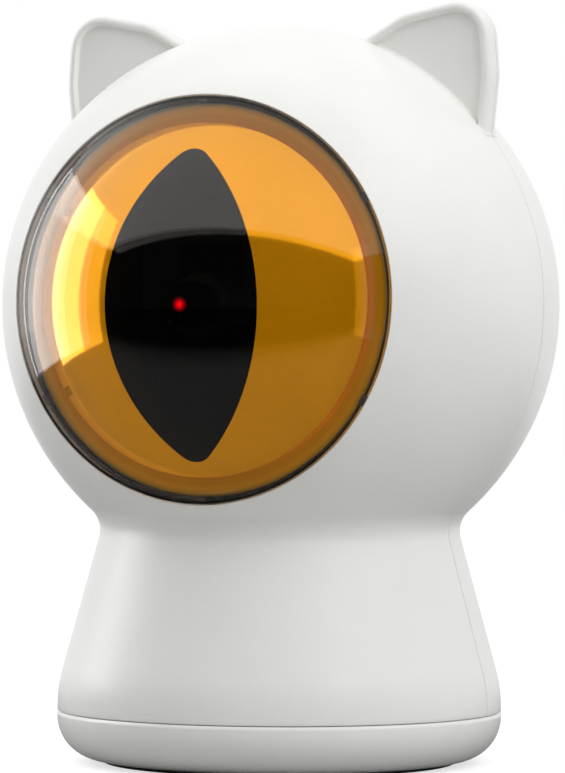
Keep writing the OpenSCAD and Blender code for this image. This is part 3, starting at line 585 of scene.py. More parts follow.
@dataclass(frozen=True)
class Ear:
    """One ear: a rounded plate with a soft rim round a dished front panel.

    Rises are from the head's surface to a disc's centre, and the root lies below it. The rim
    is the panel's inset, the step is the width over which it sinks, and the dish its depth.
    """

    form: BodyForm
    thickness: float = 5.4
    forward: float = 0.4
    tip_r: float = 5.0
    tip_rise: float = 6.6
    cheek_rise: float = 4.4
    crown_rise: float = 3.6
    tip_angle: float = 53.7
    inner_angle: float = 70.5
    outer_angle: float = 35.0
    crown_turn: float = 8.2
    cheek_turn: float = -6.7
    root: float = 4.5
    rim: float = 1.0
    step: float = 0.45
    dish: float = 0.8
    front_round: float = 0.85
    rear_round: float = 1.7
    rear_face: float = 0.8
    fillet: float = 0.3

    def discs(self) -> tuple[Points, Points]:
        """Centres and radii of the discs that the ear's outline is drawn taut round.

        The centres are measured from the head's centre.

        Returns:
            The centres, of shape (5, 2), and the radii.
        """
        polar = np.array(
            [
                [self.form.head_r + self.tip_rise, self.tip_angle],
                [self.form.head_r - self.root, self.inner_angle],
                [self.form.head_r + self.crown_rise, self.tip_angle + self.crown_turn],
                [self.form.head_r + self.cheek_rise, self.tip_angle + self.cheek_turn],
                [self.form.head_r - self.root, self.outer_angle],
            ]
        )
        centres = polar[:, :1] * on_circle(np.radians(polar[:, 1]))
        return centres, np.array([self.tip_r] + [self.thickness / 2] * 4)

    def outline(self, spacing: float = 0.22, width: int = 7) -> tuple[Points, Points]:
        """Taut outline round the discs, and its outward normals.

        In each direction the outline touches the disc that reaches furthest, at its centre
        plus its radius along the direction. The touch points are spaced evenly along the
        outline and softened by a running average, and the normals follow from them.

        Args:
            spacing: Distance between points, in millimetres.
            width: Points that the running average takes in on each side.

        Returns:
            Points and normals, each of shape (n, 2).
        """
        centres, radii = self.discs()
        n = on_circle(full_turn(2880))
        reach = n @ centres.T + radii
        pick = reach.argmax(axis=1)
        touch = centres[pick] + radii[pick][:, None] * n
        loop = np.concatenate([touch, touch[:1]])
        even = evenly(loop, int(run_lengths(loop)[-1] / spacing))
        kernel = np.hanning(2 * width + 3)[1:-1]
        kernel /= kernel.sum()
        wide = np.concatenate([even[-width:], even, even[:width]])
        soft = np.stack(
            [np.convolve(wide[:, k], kernel, mode="valid") for k in (0, 1)], axis=1
        )
        way = np.roll(soft, -1, axis=0) - np.roll(soft, 1, axis=0)
        return soft, unit(coords(way[:, 1], -way[:, 0]))

    def section(self, half: Half) -> Points:
        """Inset and depth of the ear's rows, from the seam over its edge onto its face.

        Depth is the distance in front of the seam's middle. The edge is a quarter circle. In
        front the panel sinks from it along a half wave of a cosine, and the back is flat.

        Args:
            half: Front or rear half.

        Returns:
            Points of shape (rows, 2).
        """
        front = half is Half.FRONT
        gap, s = self.form.seam_gap / 2, self.form.seam_round
        r, side_rows, edge_rows = (self.front_round, 6, 9) if front else (self.rear_round, 3, 10)
        top = self.thickness / 2 - half.value * self.forward
        q = arc(0, 90, 4)
        seam = coords(s * (1 - np.sin(q)), gap + s * (1 - np.cos(q)))
        heights = np.linspace(gap + s, top - r, side_rows)
        side = coords(0.0, heights)
        q = arc(0, 90, edge_rows)
        roll = coords(r * (1 - np.cos(q)), top - r + r * np.sin(q))
        if front:
            w = np.linspace(0, 1, 9)
            sunk = top - self.dish * (1 - np.cos(w * math.pi)) / 2
            face = coords(self.rim + w * self.step, sunk)
        else:
            face = coords(np.linspace(r, r + self.rear_face, 3), top)
        return join_rows(seam, side, roll, face) * np.array([1.0, -half.value])

    def add_to(self, skin: Skin, half: Half, side: Side) -> None:
        """Adds this ear's half as a closed solid that is rooted in the head.

        Rings follow the outline, moved in by each row's inset, and then shrink to the middle
        of the panel. Near the head the surface is pushed out along its normal by the sagitta
        of a round fillet.

        Args:
            skin: Where the solid goes.
            half: Front or rear half.
            side: Left or right ear.
        """
        outline, normals = self.outline()
        inset, depth = self.section(half).T
        flat = outline[None] - inset[:, None, None] * normals[None]
        middle = outline.mean(axis=0)
        shrink = np.linspace(1, 0.0, 36)[1:]
        inner = middle + shrink[:, None, None] * (flat[-1] - middle)[None]
        plane = np.concatenate([flat, inner])
        depths = np.concatenate([depth, np.full(len(inner), depth[-1])])
        x, z = plane[..., 0] * side.value, plane[..., 1] + self.form.head_z
        grid = coords(x, -depths[:, None], z)
        grid = self.filleted(grid, half)
        skin.tube(grid)
        ring = grid[0]
        back = ring.mean(axis=0)
        back[1] = ring[0, 1]
        skin.tube(lerp(np.broadcast_to(back, ring.shape), ring, np.linspace(0, 1, 3)))

    def filleted(self, grid: Points, half: Half) -> Points:
        """Pushes the ear's surface out where it nears the head.

        The rounded seam's rows move along with the side, so that the seam stays as narrow.

        Args:
            grid: Rings of points, of shape (rows, columns, 3).
            half: Front or rear half.

        Returns:
            The moved rings.
        """
        along = np.roll(grid, -1, axis=1) - np.roll(grid, 1, axis=1)
        inwards = np.gradient(grid, axis=0)
        normal = unit(np.cross(along, inwards))
        normal[-1] = np.array([0, half.value, 0])
        facing = np.sign((normal[-2] * np.array([0, half.value, 0])).sum(axis=-1).mean())
        normal[:-1] *= facing
        normal[:4] = normal[4]
        rise = np.linalg.norm(grid - self.form.head, axis=-1) - self.form.head_r
        f = self.fillet
        near = np.clip(f - rise, 0, f)
        push = f - np.sqrt(f * f - near * near)
        moved = grid + push[..., None] * normal
        limit = self.form.seam_gap / 2 * half.value
        y = moved[..., 1]
        moved[..., 1] = np.minimum(y, limit) if half is Half.FRONT else np.maximum(y, limit)
        return moved


# ---- Casing ---------------------------------------------------------------------


@dataclass
class Casing:
    """The two white shells, with the round seat of the lens and the openings at the back."""

    form: BodyForm
    lens_seat: float = 28.15
    bore_round: float = 0.16
    button_hole: float = 4.45
    inlet_down: float = 9.8
    inlet_half: tuple[float, float] = (4.77, 1.93)
    button_window: tuple[float, float] = (6.4, 5.2)
    inlet_window: tuple[float, float] = (6.4, 2.6)
    screw_window: tuple[float, float] = (3.9, 3.9)
    window_depth: float = 8.0
    mouth_round: float = 0.14
    screw_place: tuple[float, float, float] = (20.5, 18.0, 25.0)
    screw_hole: float = 2.05
    screw_boss: float = 3.0
    screw_floor: float = 6.7
    lap_gap: float = 0.02
    lap_deep: float = 1.1
    lap_half: float = 1.4
    lap_foot: float = 13.0
    across: int = 89
    over: int = 121
    down: int = 44

    def seam_columns(self, radius: Points, edge: float) -> Points:
        """Angles from the middle of a half to the planes Y = edge, for each radius.

        The last angle is the one whose cosine is edge over the radius.

        Args:
            radius: Radius of each row, of shape (rows,).
            edge: Distance of the half's edge from the plane Y = 0.

        Returns:
            Angles of shape (rows, columns).
        """
        limit = np.arccos(np.clip(edge / np.maximum(radius, 1e-9), -1, 1))
        return np.linspace(-1, 1, self.across)[None] * limit[:, None]

    def turned(self, profile: Points, edge: float, half: Half) -> Points:
        """Turns a profile about Z within one half.

        Args:
            profile: Radius and height of each row.
            edge: Distance of the half's edge from the plane Y = 0.
            half: Front or rear half.

        Returns:
            A grid of shape (rows, columns, 3).
        """
        angles = self.seam_columns(profile[:, 0], edge)
        r = profile[:, :1]
        return coords(r * np.sin(angles), half.value * r * np.cos(angles), profile[:, 1:])

    def head_front(self, inset: float, edge: float, bore: float) -> Points:
        """The head's front, as great circles that leave the lens seat.

        Each column starts on the seat and ends on the seam plane, or below on the neck ring.
        A point lies at the head's centre plus the radius times (sin a cos p, -cos a,
        sin a sin p), with p the column's direction and a the angle from the eye's axis.

        Args:
            inset: How far the outline is drawn in.
            edge: Distance of the seam edge from the plane Y = 0.
            bore: Radius at which the columns start.

        Returns:
            A grid of shape (rows, over + across - 1, 3), closed round the seat.
        """
        radius = self.form.head_r - inset
        ring = self.form.neck_ring(inset)
        low = ring[1] - self.form.head_z
        t = self.seam_columns(ring[:1], edge)[0]
        neck_x, neck_y = ring[0] * np.sin(t), ring[0] * np.cos(t)
        neck_p = np.arctan2(low, neck_x)
        neck_a = np.arccos(neck_y / radius)
        side_p = np.linspace(neck_p[-1], math.pi - neck_p[-1], self.over)
        side_a = np.full(self.over, math.acos(edge / radius))
        p = np.concatenate([side_p, (neck_p + 2 * math.pi)[1:]])
        last = np.concatenate([side_a, neck_a[1:]])
        first = math.asin(bore / radius)
        share = np.linspace(0, 1, self.down)[:, None]
        a = first + (last - first)[None] * share
        unit_ball = coords(np.sin(a) * np.cos(p), -np.cos(a), np.sin(a) * np.sin(p))
        return self.form.head + radius * unit_ball

    def front_rim(self, inset: float, edge: float, foot: float) -> tuple[Points, Points, Points]:
        """Both front surfaces and the loop of points along their edge.

        Args:
            inset: How far the outline is drawn in.
            edge: Distance of the seam edge from the plane Y = 0.
            foot: Height at which the surface ends.

        Returns:
            The head's grid, the lower grid, and the closed edge loop, which runs over the
            head from right to left, down the left seam, along the foot and up the right seam.
        """
        bore = self.lens_seat + (self.bore_round if inset == 0 else 0)
        head = self.head_front(inset, edge, bore)
        lower = self.turned(self.form.lower_profile(inset, foot, 30), edge, Half.FRONT)
        loop = np.concatenate(
            [
                head[-1, : self.over],
                lower[1:, 0],
                lower[-1, 1:],
                lower[-2::-1, -1],
            ]
        )
        return head, lower, loop

    def edge_strip(self, loop: Points, inner: Points, half: Half, foot: float) -> Points:
        """Rounded edge along a shell's seams, from the outer loop to the inner one.

        The edge leaves the surface along its own direction and turns a quarter circle
        towards the inside.

        Args:
            loop: Outer edge loop, one rounding away from the seam planes.
            inner: Inner edge loop, on the seam planes.
            half: Front or rear half.
            foot: Height of the lower seam plane.

        Returns:
            A grid of shape (rows, points, 3).
        """
        s = self.form.seam_round
        limit = self.form.seam_gap / 2 * half.value
        low = loop[:, 2] < foot + s + 0.01
        at_seam = np.abs(loop[:, 1] - limit) < s + 0.01
        leave = np.zeros_like(loop)
        leave[at_seam, 1] = -half.value
        leave[low, 2] = -1
        above = loop[:, 2] > self.form.neck_ring(0)[1]
        round_head = unit(loop - self.form.head)
        radial = unit(loop * np.array([1.0, 1, 0]))
        n = self.form.normal
        slope = radial * n[0] + np.array([0, 0, n[1]])
        normal = np.where(above[:, None], round_head, np.where(low[:, None], radial, slope))
        normal[at_seam, 1] = 0
        normal = unit(normal)
        q = arc(0, 90, 4)[:, None, None]
        rounded = loop + s * (np.sin(q) * leave + (np.cos(q) - 1) * normal)
        return np.concatenate([rounded, inner[None]])

    def front(self) -> bpy.types.Object:
        """The front shell: two skins, the lens seat, rounded seams and both ears' fronts.

        Returns:
            The object, at the origin, with its place in its mesh.
        """
        skin = Skin()
        gap, foot = self.form.seam_gap / 2, self.form.seam_z + self.form.foot_lift
        s = self.form.seam_round
        head, lower, loop = self.front_rim(0.0, gap + s, foot + s)
        head_in, lower_in, loop_in = self.front_rim(self.form.wall, gap, foot)
        for grid in (lower, lower_in, head, head_in):
            skin.grid(grid)
        skin.tube(self.edge_strip(loop, loop_in, Half.FRONT, foot))
        skin.grid(self.bore_wall(head[0], head_in[0]))
        for side in Side:
            Ear(self.form).add_to(skin, Half.FRONT, side)
        return skin.build("front_shell_skin")

    def bore_wall(self, outer: Points, inner: Points) -> Points:
        """Rounded mouth and straight wall of the lens seat.

        A quarter circle leads from the head's surface to the wall along the eye's axis.

        Args:
            outer: Ring on the outer skin, one rounding wider than the seat.
            inner: Ring on the inner skin.

        Returns:
            A grid of shape (rows, columns, 3).
        """
        s = self.bore_round
        out = unit((outer - self.form.head) * np.array([1.0, 0, 1]))
        q = arc(0, 90, 5)[1:, None, None]
        bend = outer - s * np.sin(q) * out + s * (1 - np.cos(q)) * np.array([0, 1.0, 0])
        return np.concatenate([outer[None], bend, inner[None]])

    def openings(self) -> list[tuple[Opening, tuple[float, float], Optional[float]]]:
        """Holes in the rear shell.

        Returns:
            For each hole its opening, the half width and half height of the window that its
            rings fill, and the Y of the floor of a screw's cup, or None where it goes through.
        """
        origin, across, down, out = self.form.back_frame(self.form.button_z)
        button = Opening(origin, across, down, out, self.button_hole, self.button_hole)
        inlet = Opening(origin + self.inlet_down * down, across, down, out, *self.inlet_half)
        found: list[tuple[Opening, tuple[float, float], Optional[float]]] = [
            (button, self.button_window, None),
            (inlet, self.inlet_window, None),
        ]
        x_axis, y_axis, z_axis = np.eye(3)
        for side in Side:
            place = np.array(self.screw_place) * np.array([side.value, 1, 1])
            cup = Opening(place, x_axis, -z_axis, y_axis, self.screw_hole, self.screw_hole)
            found.append((cup, self.screw_window, self.screw_floor))
        return found

    def rear(self) -> bpy.types.Object:
        """The rear shell: two skins with their openings, rounded seams, lap and ears' backs.

        Returns:
            The object, at the origin, with its place in its mesh.
        """
        skin = Skin()
        gap, foot = self.form.seam_gap / 2, self.form.seam_z + self.form.foot_lift
        s = self.form.seam_round
        outer = self.rear_grid(0.0, gap + s, foot + s)
        inner = self.rear_grid(self.form.wall, gap, foot)
        keep = np.ones((outer.shape[0] - 1, outer.shape[1] - 1), bool)
        for opening, size, floor in self.openings():
            self.cut_window(skin, keep, outer, inner, opening, size, floor)
        skin.grid(outer, keep)
        skin.grid(inner, keep)
        skin.tube(self.edge_strip(edge_loop(outer), edge_loop(inner), Half.REAR, foot))
        self.add_lap(skin)
        for side in Side:
            Ear(self.form).add_to(skin, Half.REAR, side)
        return skin.build("rear_shell_skin")

    def rear_grid(self, inset: float, edge: float, foot: float) -> Points:
        """The rear half turned about Z, from the top of the head to the foot seam.

        Args:
            inset: How far the outline is drawn in.
            edge: Distance of the seam edge from the plane Y = 0.
            foot: Height at which it ends.

        Returns:
            A grid of shape (rows, columns, 3).
        """
        radius = self.form.head_r - inset
        ring = self.form.neck_ring(inset)
        start = math.asin(edge / radius)
        stop = math.pi - math.asin(ring[0] / radius)
        a = np.linspace(start, stop, 90)
        top = coords(radius * np.sin(a), self.form.head_z + radius * np.cos(a))
        top[-1] = ring
        lower = self.form.lower_profile(inset, foot, self.down)
        return self.turned(join_rows(top, lower), edge, Half.REAR)

    def cut_window(
        self,
        skin: Skin,
        keep: Points,
        outer: Points,
        inner: Points,
        opening: Opening,
        size: tuple[float, float],
        floor: Optional[float],
    ) -> None:
        """Takes a window out of both skins and fills it with rings round a hole.

        The rings run from the window's border to the hole in the plane of angle and height,
        so each of their points lies on the body. A wall joins both holes, or a cup closes
        the outer one and a boss the inner one.

        Args:
            skin: Where the rings go.
            keep: Quads that stay, changed in place.
            outer: Grid of the outer skin.
            inner: Grid of the inner skin.
            opening: The hole.
            size: Half width and half height of the window.
            floor: Y of the cup's floor, or None for a hole that goes through.
        """
        local = outer - opening.origin
        u, v = local @ opening.across, local @ opening.down
        inside = (np.abs(u) < size[0]) & (np.abs(v) < size[1])
        inside &= local @ opening.out > -self.window_depth
        rows, columns = np.where(inside.any(axis=1))[0], np.where(inside.any(axis=0))[0]
        r0, r1, c0, c1 = rows[0], rows[-1], columns[0], columns[-1]
        keep[r0:r1, c0:c1] = False
        rim_outer = window_border(outer, r0, r1, c0, c1)
        rim_inner = window_border(inner, r0, r1, c0, c1)
        local = rim_outer - opening.origin
        way = unit(coords(local @ opening.across, local @ opening.down))
        mouth = opening.on_body(self.form, opening.outline(way, self.mouth_round), 0.0)
        hole = opening.on_body(self.form, opening.outline(way), 0.0)
        skin.tube(self.rings(rim_outer, mouth, 0.0))
        wide = self.screw_boss - self.screw_hole if floor is not None else 0.0
        back = opening.on_body(self.form, opening.outline(way, wide), self.form.wall)
        skin.tube(self.rings(rim_inner, back, self.form.wall))
        q = arc(0, 90, 4)[:, None, None]
        bend = mouth + (hole - mouth) * np.sin(q)
        bend = bend - self.mouth_round * (1 - np.cos(q)) * opening.out
        if floor is None:
            skin.tube(np.concatenate([bend, back[None]]))
            return
        cup = self.level(hole, floor)
        skin.tube(np.concatenate([bend, np.stack([cup, cup.mean(axis=0) + 0 * hole])]))
        end = self.level(back, self.form.seam_gap / 2)
        skin.tube(np.stack([back, end, end.mean(axis=0) + 0 * end]))

    @staticmethod
    def level(points: Points, y: float) -> Points:
        """The points moved along Y onto one plane.

        Args:
            points: Points of shape (n, 3).
            y: Y of the plane.

        Returns:
            The moved points.
        """
        moved = points.copy()
        moved[:, 1] = y
        return moved

    def rings(self, rim: Points, hole: Points, inset: float) -> Points:
        """Rings on the body between a window's border and a hole.

        Args:
            rim: Points of the border.
            hole: Points of the hole, as many.
            inset: How far the outline is drawn in.

        Returns:
            A grid of shape (rows, points, 3) that starts on the border.
        """
        a = coords(np.arctan2(rim[:, 0], rim[:, 1]), rim[:, 2])
        b = coords(np.arctan2(hole[:, 0], hole[:, 1]), hole[:, 2])
        mid = lerp(a, b, np.linspace(0, 1, 7))
        r = self.form.radius_at(mid[..., 1], inset)
        grid = coords(r * np.sin(mid[..., 0]), r * np.cos(mid[..., 0]), mid[..., 1])
        grid[0], grid[-1] = rim, hole
        return grid

    def add_lap(self, skin: Skin) -> None:
        """Adds the lap that closes the side seam from inside, as a bent bar.

        The bar follows the outline over the head and down both sides.

        Args:
            skin: Where the bar goes.
        """
        lines = []
        for inset in (self.form.wall + self.lap_gap, self.form.wall + self.lap_deep):
            radius = self.form.head_r - inset
            ring = self.form.neck_ring(inset)
            a = np.linspace(0.0, math.pi - math.asin(ring[0] / radius), 70)
            top = coords(radius * np.sin(a), self.form.head_z + radius * np.cos(a))
            right = join_rows(top, self.form.lower_profile(inset, self.lap_foot, 12))
            left = right[::-1] * np.array([-1.0, 1])
            lines.append(join_rows(left, right))
        w = self.lap_half
        corners = [(0, -w), (0, w), (1, w), (1, -w), (0, -w)]
        bar = np.stack(
            [
                coords(lines[k][:, 0], y, lines[k][:, 1])
                for k, y in corners
            ]
        )
        skin.grid(bar)
        for end in (0, -1):
            skin.grid(cap_quad(bar[:4, end]))


def cap_quad(corners: Points) -> Points:
    """Four corners in order, as a grid of one quad."""
    return np.stack([np.stack([corners[0], corners[1]]), np.stack([corners[3], corners[2]])])


def edge_loop(grid: Points) -> Points:
    """Edge of a half-turned grid: down its last column, back along its foot and up its first.

    Args:
        grid: A grid whose first row is a single point.

    Returns:
        The closed loop's points, each once.
    """
    return np.concatenate([grid[:, -1], grid[-1, -2::-1], grid[-2:0:-1, 0]])


def window_border(grid: Points, r0: int, r1: int, c0: int, c1: int) -> Points:
    """Border points of a block of a grid, in order round it.

    Args:
        grid: The grid.
        r0: First row.
        r1: Last row.
        c0: First column.
        c1: Last column.

    Returns:
        The points of the border, each once.
    """
    return np.concatenate(
        [
            grid[r0, c0:c1],
            grid[r0:r1, c1],
            grid[r1, c1:c0:-1],
            grid[r1:r0:-1, c0],
        ]
    )


# ---- Eye ------------------------------------------------------------------------


@dataclass
class Eye:
    """The clear dome, the amber iris with its pupil opening, and the dark pupil window."""

    form: BodyForm
    lens_r: float = 28.05
    lens_t: float = 1.6
    flange: float = 2.5
    flange_out: float = 37.9
    flange_in: float = 36.3
    rim_in: float = 27.2
    iris_out: float = 36.2
    iris_t: float = 1.2
    iris_r: float = 24.05
    iris_step: float = 1.0
    iris_flange: float = 26.6
    pupil_w: float = 22.4
    pupil_h: float = 44.0
    pupil_tip: float = 3.0
    pupil_drop: float = 0.8
    edge_soft: float = 0.22
    least_lap: float = 0.5
    window_gap: float = 0.02

    def on_ball(self, plane: Points, radius: float) -> Points:
        """Carries points of the eye's plane forwards onto a ball round the head's centre.

        Depth in front of the centre is the root of radius squared less x squared less
        z squared.

        Args:
            plane: Points as x and height above the head's centre, of shape (..., 2).
            radius: Radius of the ball.

        Returns:
            Points of shape (..., 3).
        """
        depth = np.sqrt(radius**2 - (plane**2).sum(axis=-1))
        return self.placed(plane, depth)

    def placed(self, plane: Points, depth: Union[Points, float]) -> Points:
        """Points of the eye's plane at a depth in front of the head's centre."""
        return coords(plane[..., 0], -depth, plane[..., 1] + self.form.head_z)

    def turned(self, profile: Points, count: int = 224) -> Points:
        """Turns a profile of radius and depth about the eye's axis.

        Args:
            profile: Radius and depth of each row.
            count: Number of columns.

        Returns:
            A grid of shape (rows, count, 3).
        """
        plane = profile[:, None, :1] * on_circle(full_turn(count))[None]
        return self.placed(plane, profile[:, 1:])

    @staticmethod
    def ball_profile(radius: float, start: float, stop: float, count: int) -> Points:
        """Radius and depth along a ball, from one radius off the axis to another."""
        a = np.linspace(math.asin(start / radius), math.asin(stop / radius), count)
        return radius * coords(np.sin(a), np.cos(a))

    def dome(self) -> bpy.types.Object:
        """The clear dome: two balls, an upright rim with a softened edge, and the flange.

        Returns:
            The object, at the origin, with its place in its mesh.
        """
        outer = self.form.head_r
        inner = outer - self.lens_t
        soft = self.edge_soft
        front = self.ball_profile(outer, 0.0, self.lens_r - soft, 60)
        edge = front[-1]
        q = arc(0, 90, 5)
        bend = coords(
            edge[0] + soft * np.sin(q), edge[1] - 0.5 * soft * np.sin(q) - soft * (1 - np.cos(q))
        )
        reach = self.lens_r + self.flange
        face = self.ball_profile(self.flange_out, self.lens_r, reach, 4)
        back = self.ball_profile(self.flange_in, reach, self.rim_in, 5)
        hollow = self.ball_profile(inner, self.rim_in, 0.0, 60)
        profile = np.concatenate([front, bend[1:], face, back, hollow])
        skin = Skin()
        skin.tube(self.turned(profile))
        return skin.build("eye_dome", crease=40)

    def pupil_outline(self, count: int = 288) -> Points:
        """Spindle outline of the pupil: two large arcs joined by two rounded ends.

        The large arcs meet at half the pupil's height, their centres lie level with it, and
        the small end circles touch both from inside. The points are spaced evenly along the
        outline.

        Args:
            count: Number of points.

        Returns:
            Points as x and height above the head's centre, of shape (count, 2).
        """
        half_w, half_h = self.pupil_w / 2, self.pupil_h / 2
        radius = (half_w**2 + half_h**2) / (2 * half_w)
        shift = radius - half_w
        tip_z = math.sqrt((radius - self.pupil_tip) ** 2 - shift**2)
        lean = math.asin(tip_z / (radius - self.pupil_tip))
        a = np.linspace(-lean, lean, 400)
        right = coords(radius * np.cos(a) - shift, radius * np.sin(a))
        a = np.linspace(lean, math.pi - lean, 120)
        top = coords(self.pupil_tip * np.cos(a), tip_z + self.pupil_tip * np.sin(a))
        half = join_rows(right, top)
        loop = join_rows(half, -half)
        return evenly(loop, count) - np.array([0, self.pupil_drop])

    def iris(self) -> bpy.types.Object:
        """The iris: a dome round the pupil opening, a step, and a flat flange.

        Rings lead from the pupil's outline to a circle, each carried onto the ball. The rows
        go round the wall's section and end where they began.

        Returns:
            The object, at the origin, with its place in its mesh.
        """
        pupil = self.pupil_outline()
        way = unit(pupil)
        inner = self.iris_out - self.iris_t
        share = np.linspace(0, 1, 40)
        circle = way * self.iris_r
        front = self.on_ball(lerp(pupil, circle, share), self.iris_out)
        edge = math.sqrt(self.iris_out**2 - self.iris_r**2) - self.iris_step
        low = edge - self.iris_t
        flat_radii = np.linspace(self.iris_r, self.iris_flange, 6)
        flange = self.placed(flat_radii[:, None, None] * way, edge)
        meet = min(math.sqrt(inner**2 - low**2), self.iris_flange - self.least_lap)
        under_radii = np.array([self.iris_flange, meet])
        under = self.placed(under_radii[:, None, None] * way, low)
        back = self.on_ball(lerp(pupil, way * meet, share)[::-1], inner)
        skin = Skin()
        skin.tube(np.concatenate([front, flange, under, back, front[:1]]))
        return skin.build("eye_iris", crease=30)

    def pupil(self) -> bpy.types.Object:
        """The dark window that fills the pupil, with a softened edge.

        Returns:
            The object, at the origin, with its place in its mesh.
        """
        outline = self.pupil_outline()
        middle = np.array([0, -self.pupil_drop])
        share = np.linspace(0, 1, 26)
        start = np.broadcast_to(middle, outline.shape)
        shrunk = middle + (outline - middle) * (1 - self.window_gap / self.pupil_w)
        front = self.on_ball(lerp(start, shrunk, share), self.iris_out - self.window_gap)
        back = self.on_ball(lerp(shrunk, start, share), self.iris_out - self.iris_t)
        skin = Skin()
        skin.tube(np.concatenate([front, back]))
        return skin.build("eye_pupil_window", crease=30)


# ---- Base and back --------------------------------------------------------------


@dataclass
class Base:
    """The rubber ring under the base."""

    form: BodyForm
    foot_in: float = 21.95
    foot_out: float = 25.45
    foot_top: float = 1.3
    foot_bevel: float = 0.45
    top_bevel: float = 0.05

    def foot(self) -> bpy.types.Object:
        """The rubber ring: a profile with soft lower corners, turned about Z.

        Returns:
            The object, at the origin, with its place in its mesh.
        """
        low, high = self.foot_bevel, self.top_bevel
        profile = rounded_profile(
            [
                (self.foot_out, 0.0, low),
                (self.foot_out, self.foot_top, high),
                (self.foot_in, self.foot_top, high),
                (self.foot_in, 0.0, low),
            ]
        )
        skin = Skin()
        skin.tube(lathe(profile, full_turn(200)))
        return skin.build("foot_ring_rubber", crease=40)


def smooth_copy(node: bpy.types.Object, name: str, crease: float = 28.0) -> bpy.types.Object:
    """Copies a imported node, welds the copy and shades it smooth between its sharp edges.

    Args:
        node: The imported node's object.
        name: Name of the new object.
        crease: Angle in degrees above which an edge stays sharp.

    Returns:
        The new object.
    """
    mesh = node.data.copy()
    mesh.name = name
    mesh.materials.clear()
    work = bmesh.new()
    work.from_mesh(mesh)
    bmesh.ops.remove_doubles(work, verts=work.verts, dist=0.0005 * MM)
    bmesh.ops.dissolve_degenerate(work, edges=work.edges, dist=0.0002 * MM)
    work.to_mesh(mesh)
    work.free()
    if mesh.has_custom_normals:
        mesh.normals_split_custom_set([(0.0, 0.0, 0.0)] * len(mesh.loops))
    return link_smooth(mesh, name, crease)


@dataclass
class BackControls:
    """The power button at the back, in the frame of the flare's slope.

    Its flange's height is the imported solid's, so that it keeps clear of the switch.
    """

    form: BodyForm
    radius: float = 4.4
    proud: float = 0.4
    dish: float = 0.3
    flange: float = 0.6
    flange_top: float = -2.7
    flange_h: float = 0.9
    edge_soft: float = 0.45

    def button(self, depth: float) -> bpy.types.Object:
        """The button: a shallow dished face, a soft edge, and the flange that keeps it in.

        The face sinks towards the middle as a cosine half wave.

        Args:
            depth: Distance from the casing's face to the button's inner end.

        Returns:
            The object.
        """
        r, p, s = self.radius, self.proud, self.edge_soft
        a = np.linspace(0, 1, 14)
        face = coords(a * (r - s), p - self.dish * (1 + np.cos(a * math.pi)) / 2)
        q = arc(0, 90, 6)
        bend = coords(r - s + s * np.sin(q), p - s * (1 - np.cos(q)))
        wide = r + self.flange
        low = [
            [r, self.flange_top],
            [wide, self.flange_top],
            [wide, -depth],
            [0.0, -depth],
        ]
        profile = np.concatenate([face, bend[1:], np.array(low)])
        origin, across, down, out = self.form.back_frame(self.form.button_z)
        turn = full_turn(96)
        ring = np.cos(turn)[:, None] * across + np.sin(turn)[:, None] * down
        grid = origin + profile[:, None, :1] * ring + profile[:, None, 1:] * out
        skin = Skin()
        skin.tube(grid)
        return skin.build("power_button_cap", crease=35)


# ---- Finishes -------------------------------------------------------------------

Value = Union[float, Colour, bpy.types.NodeSocket]


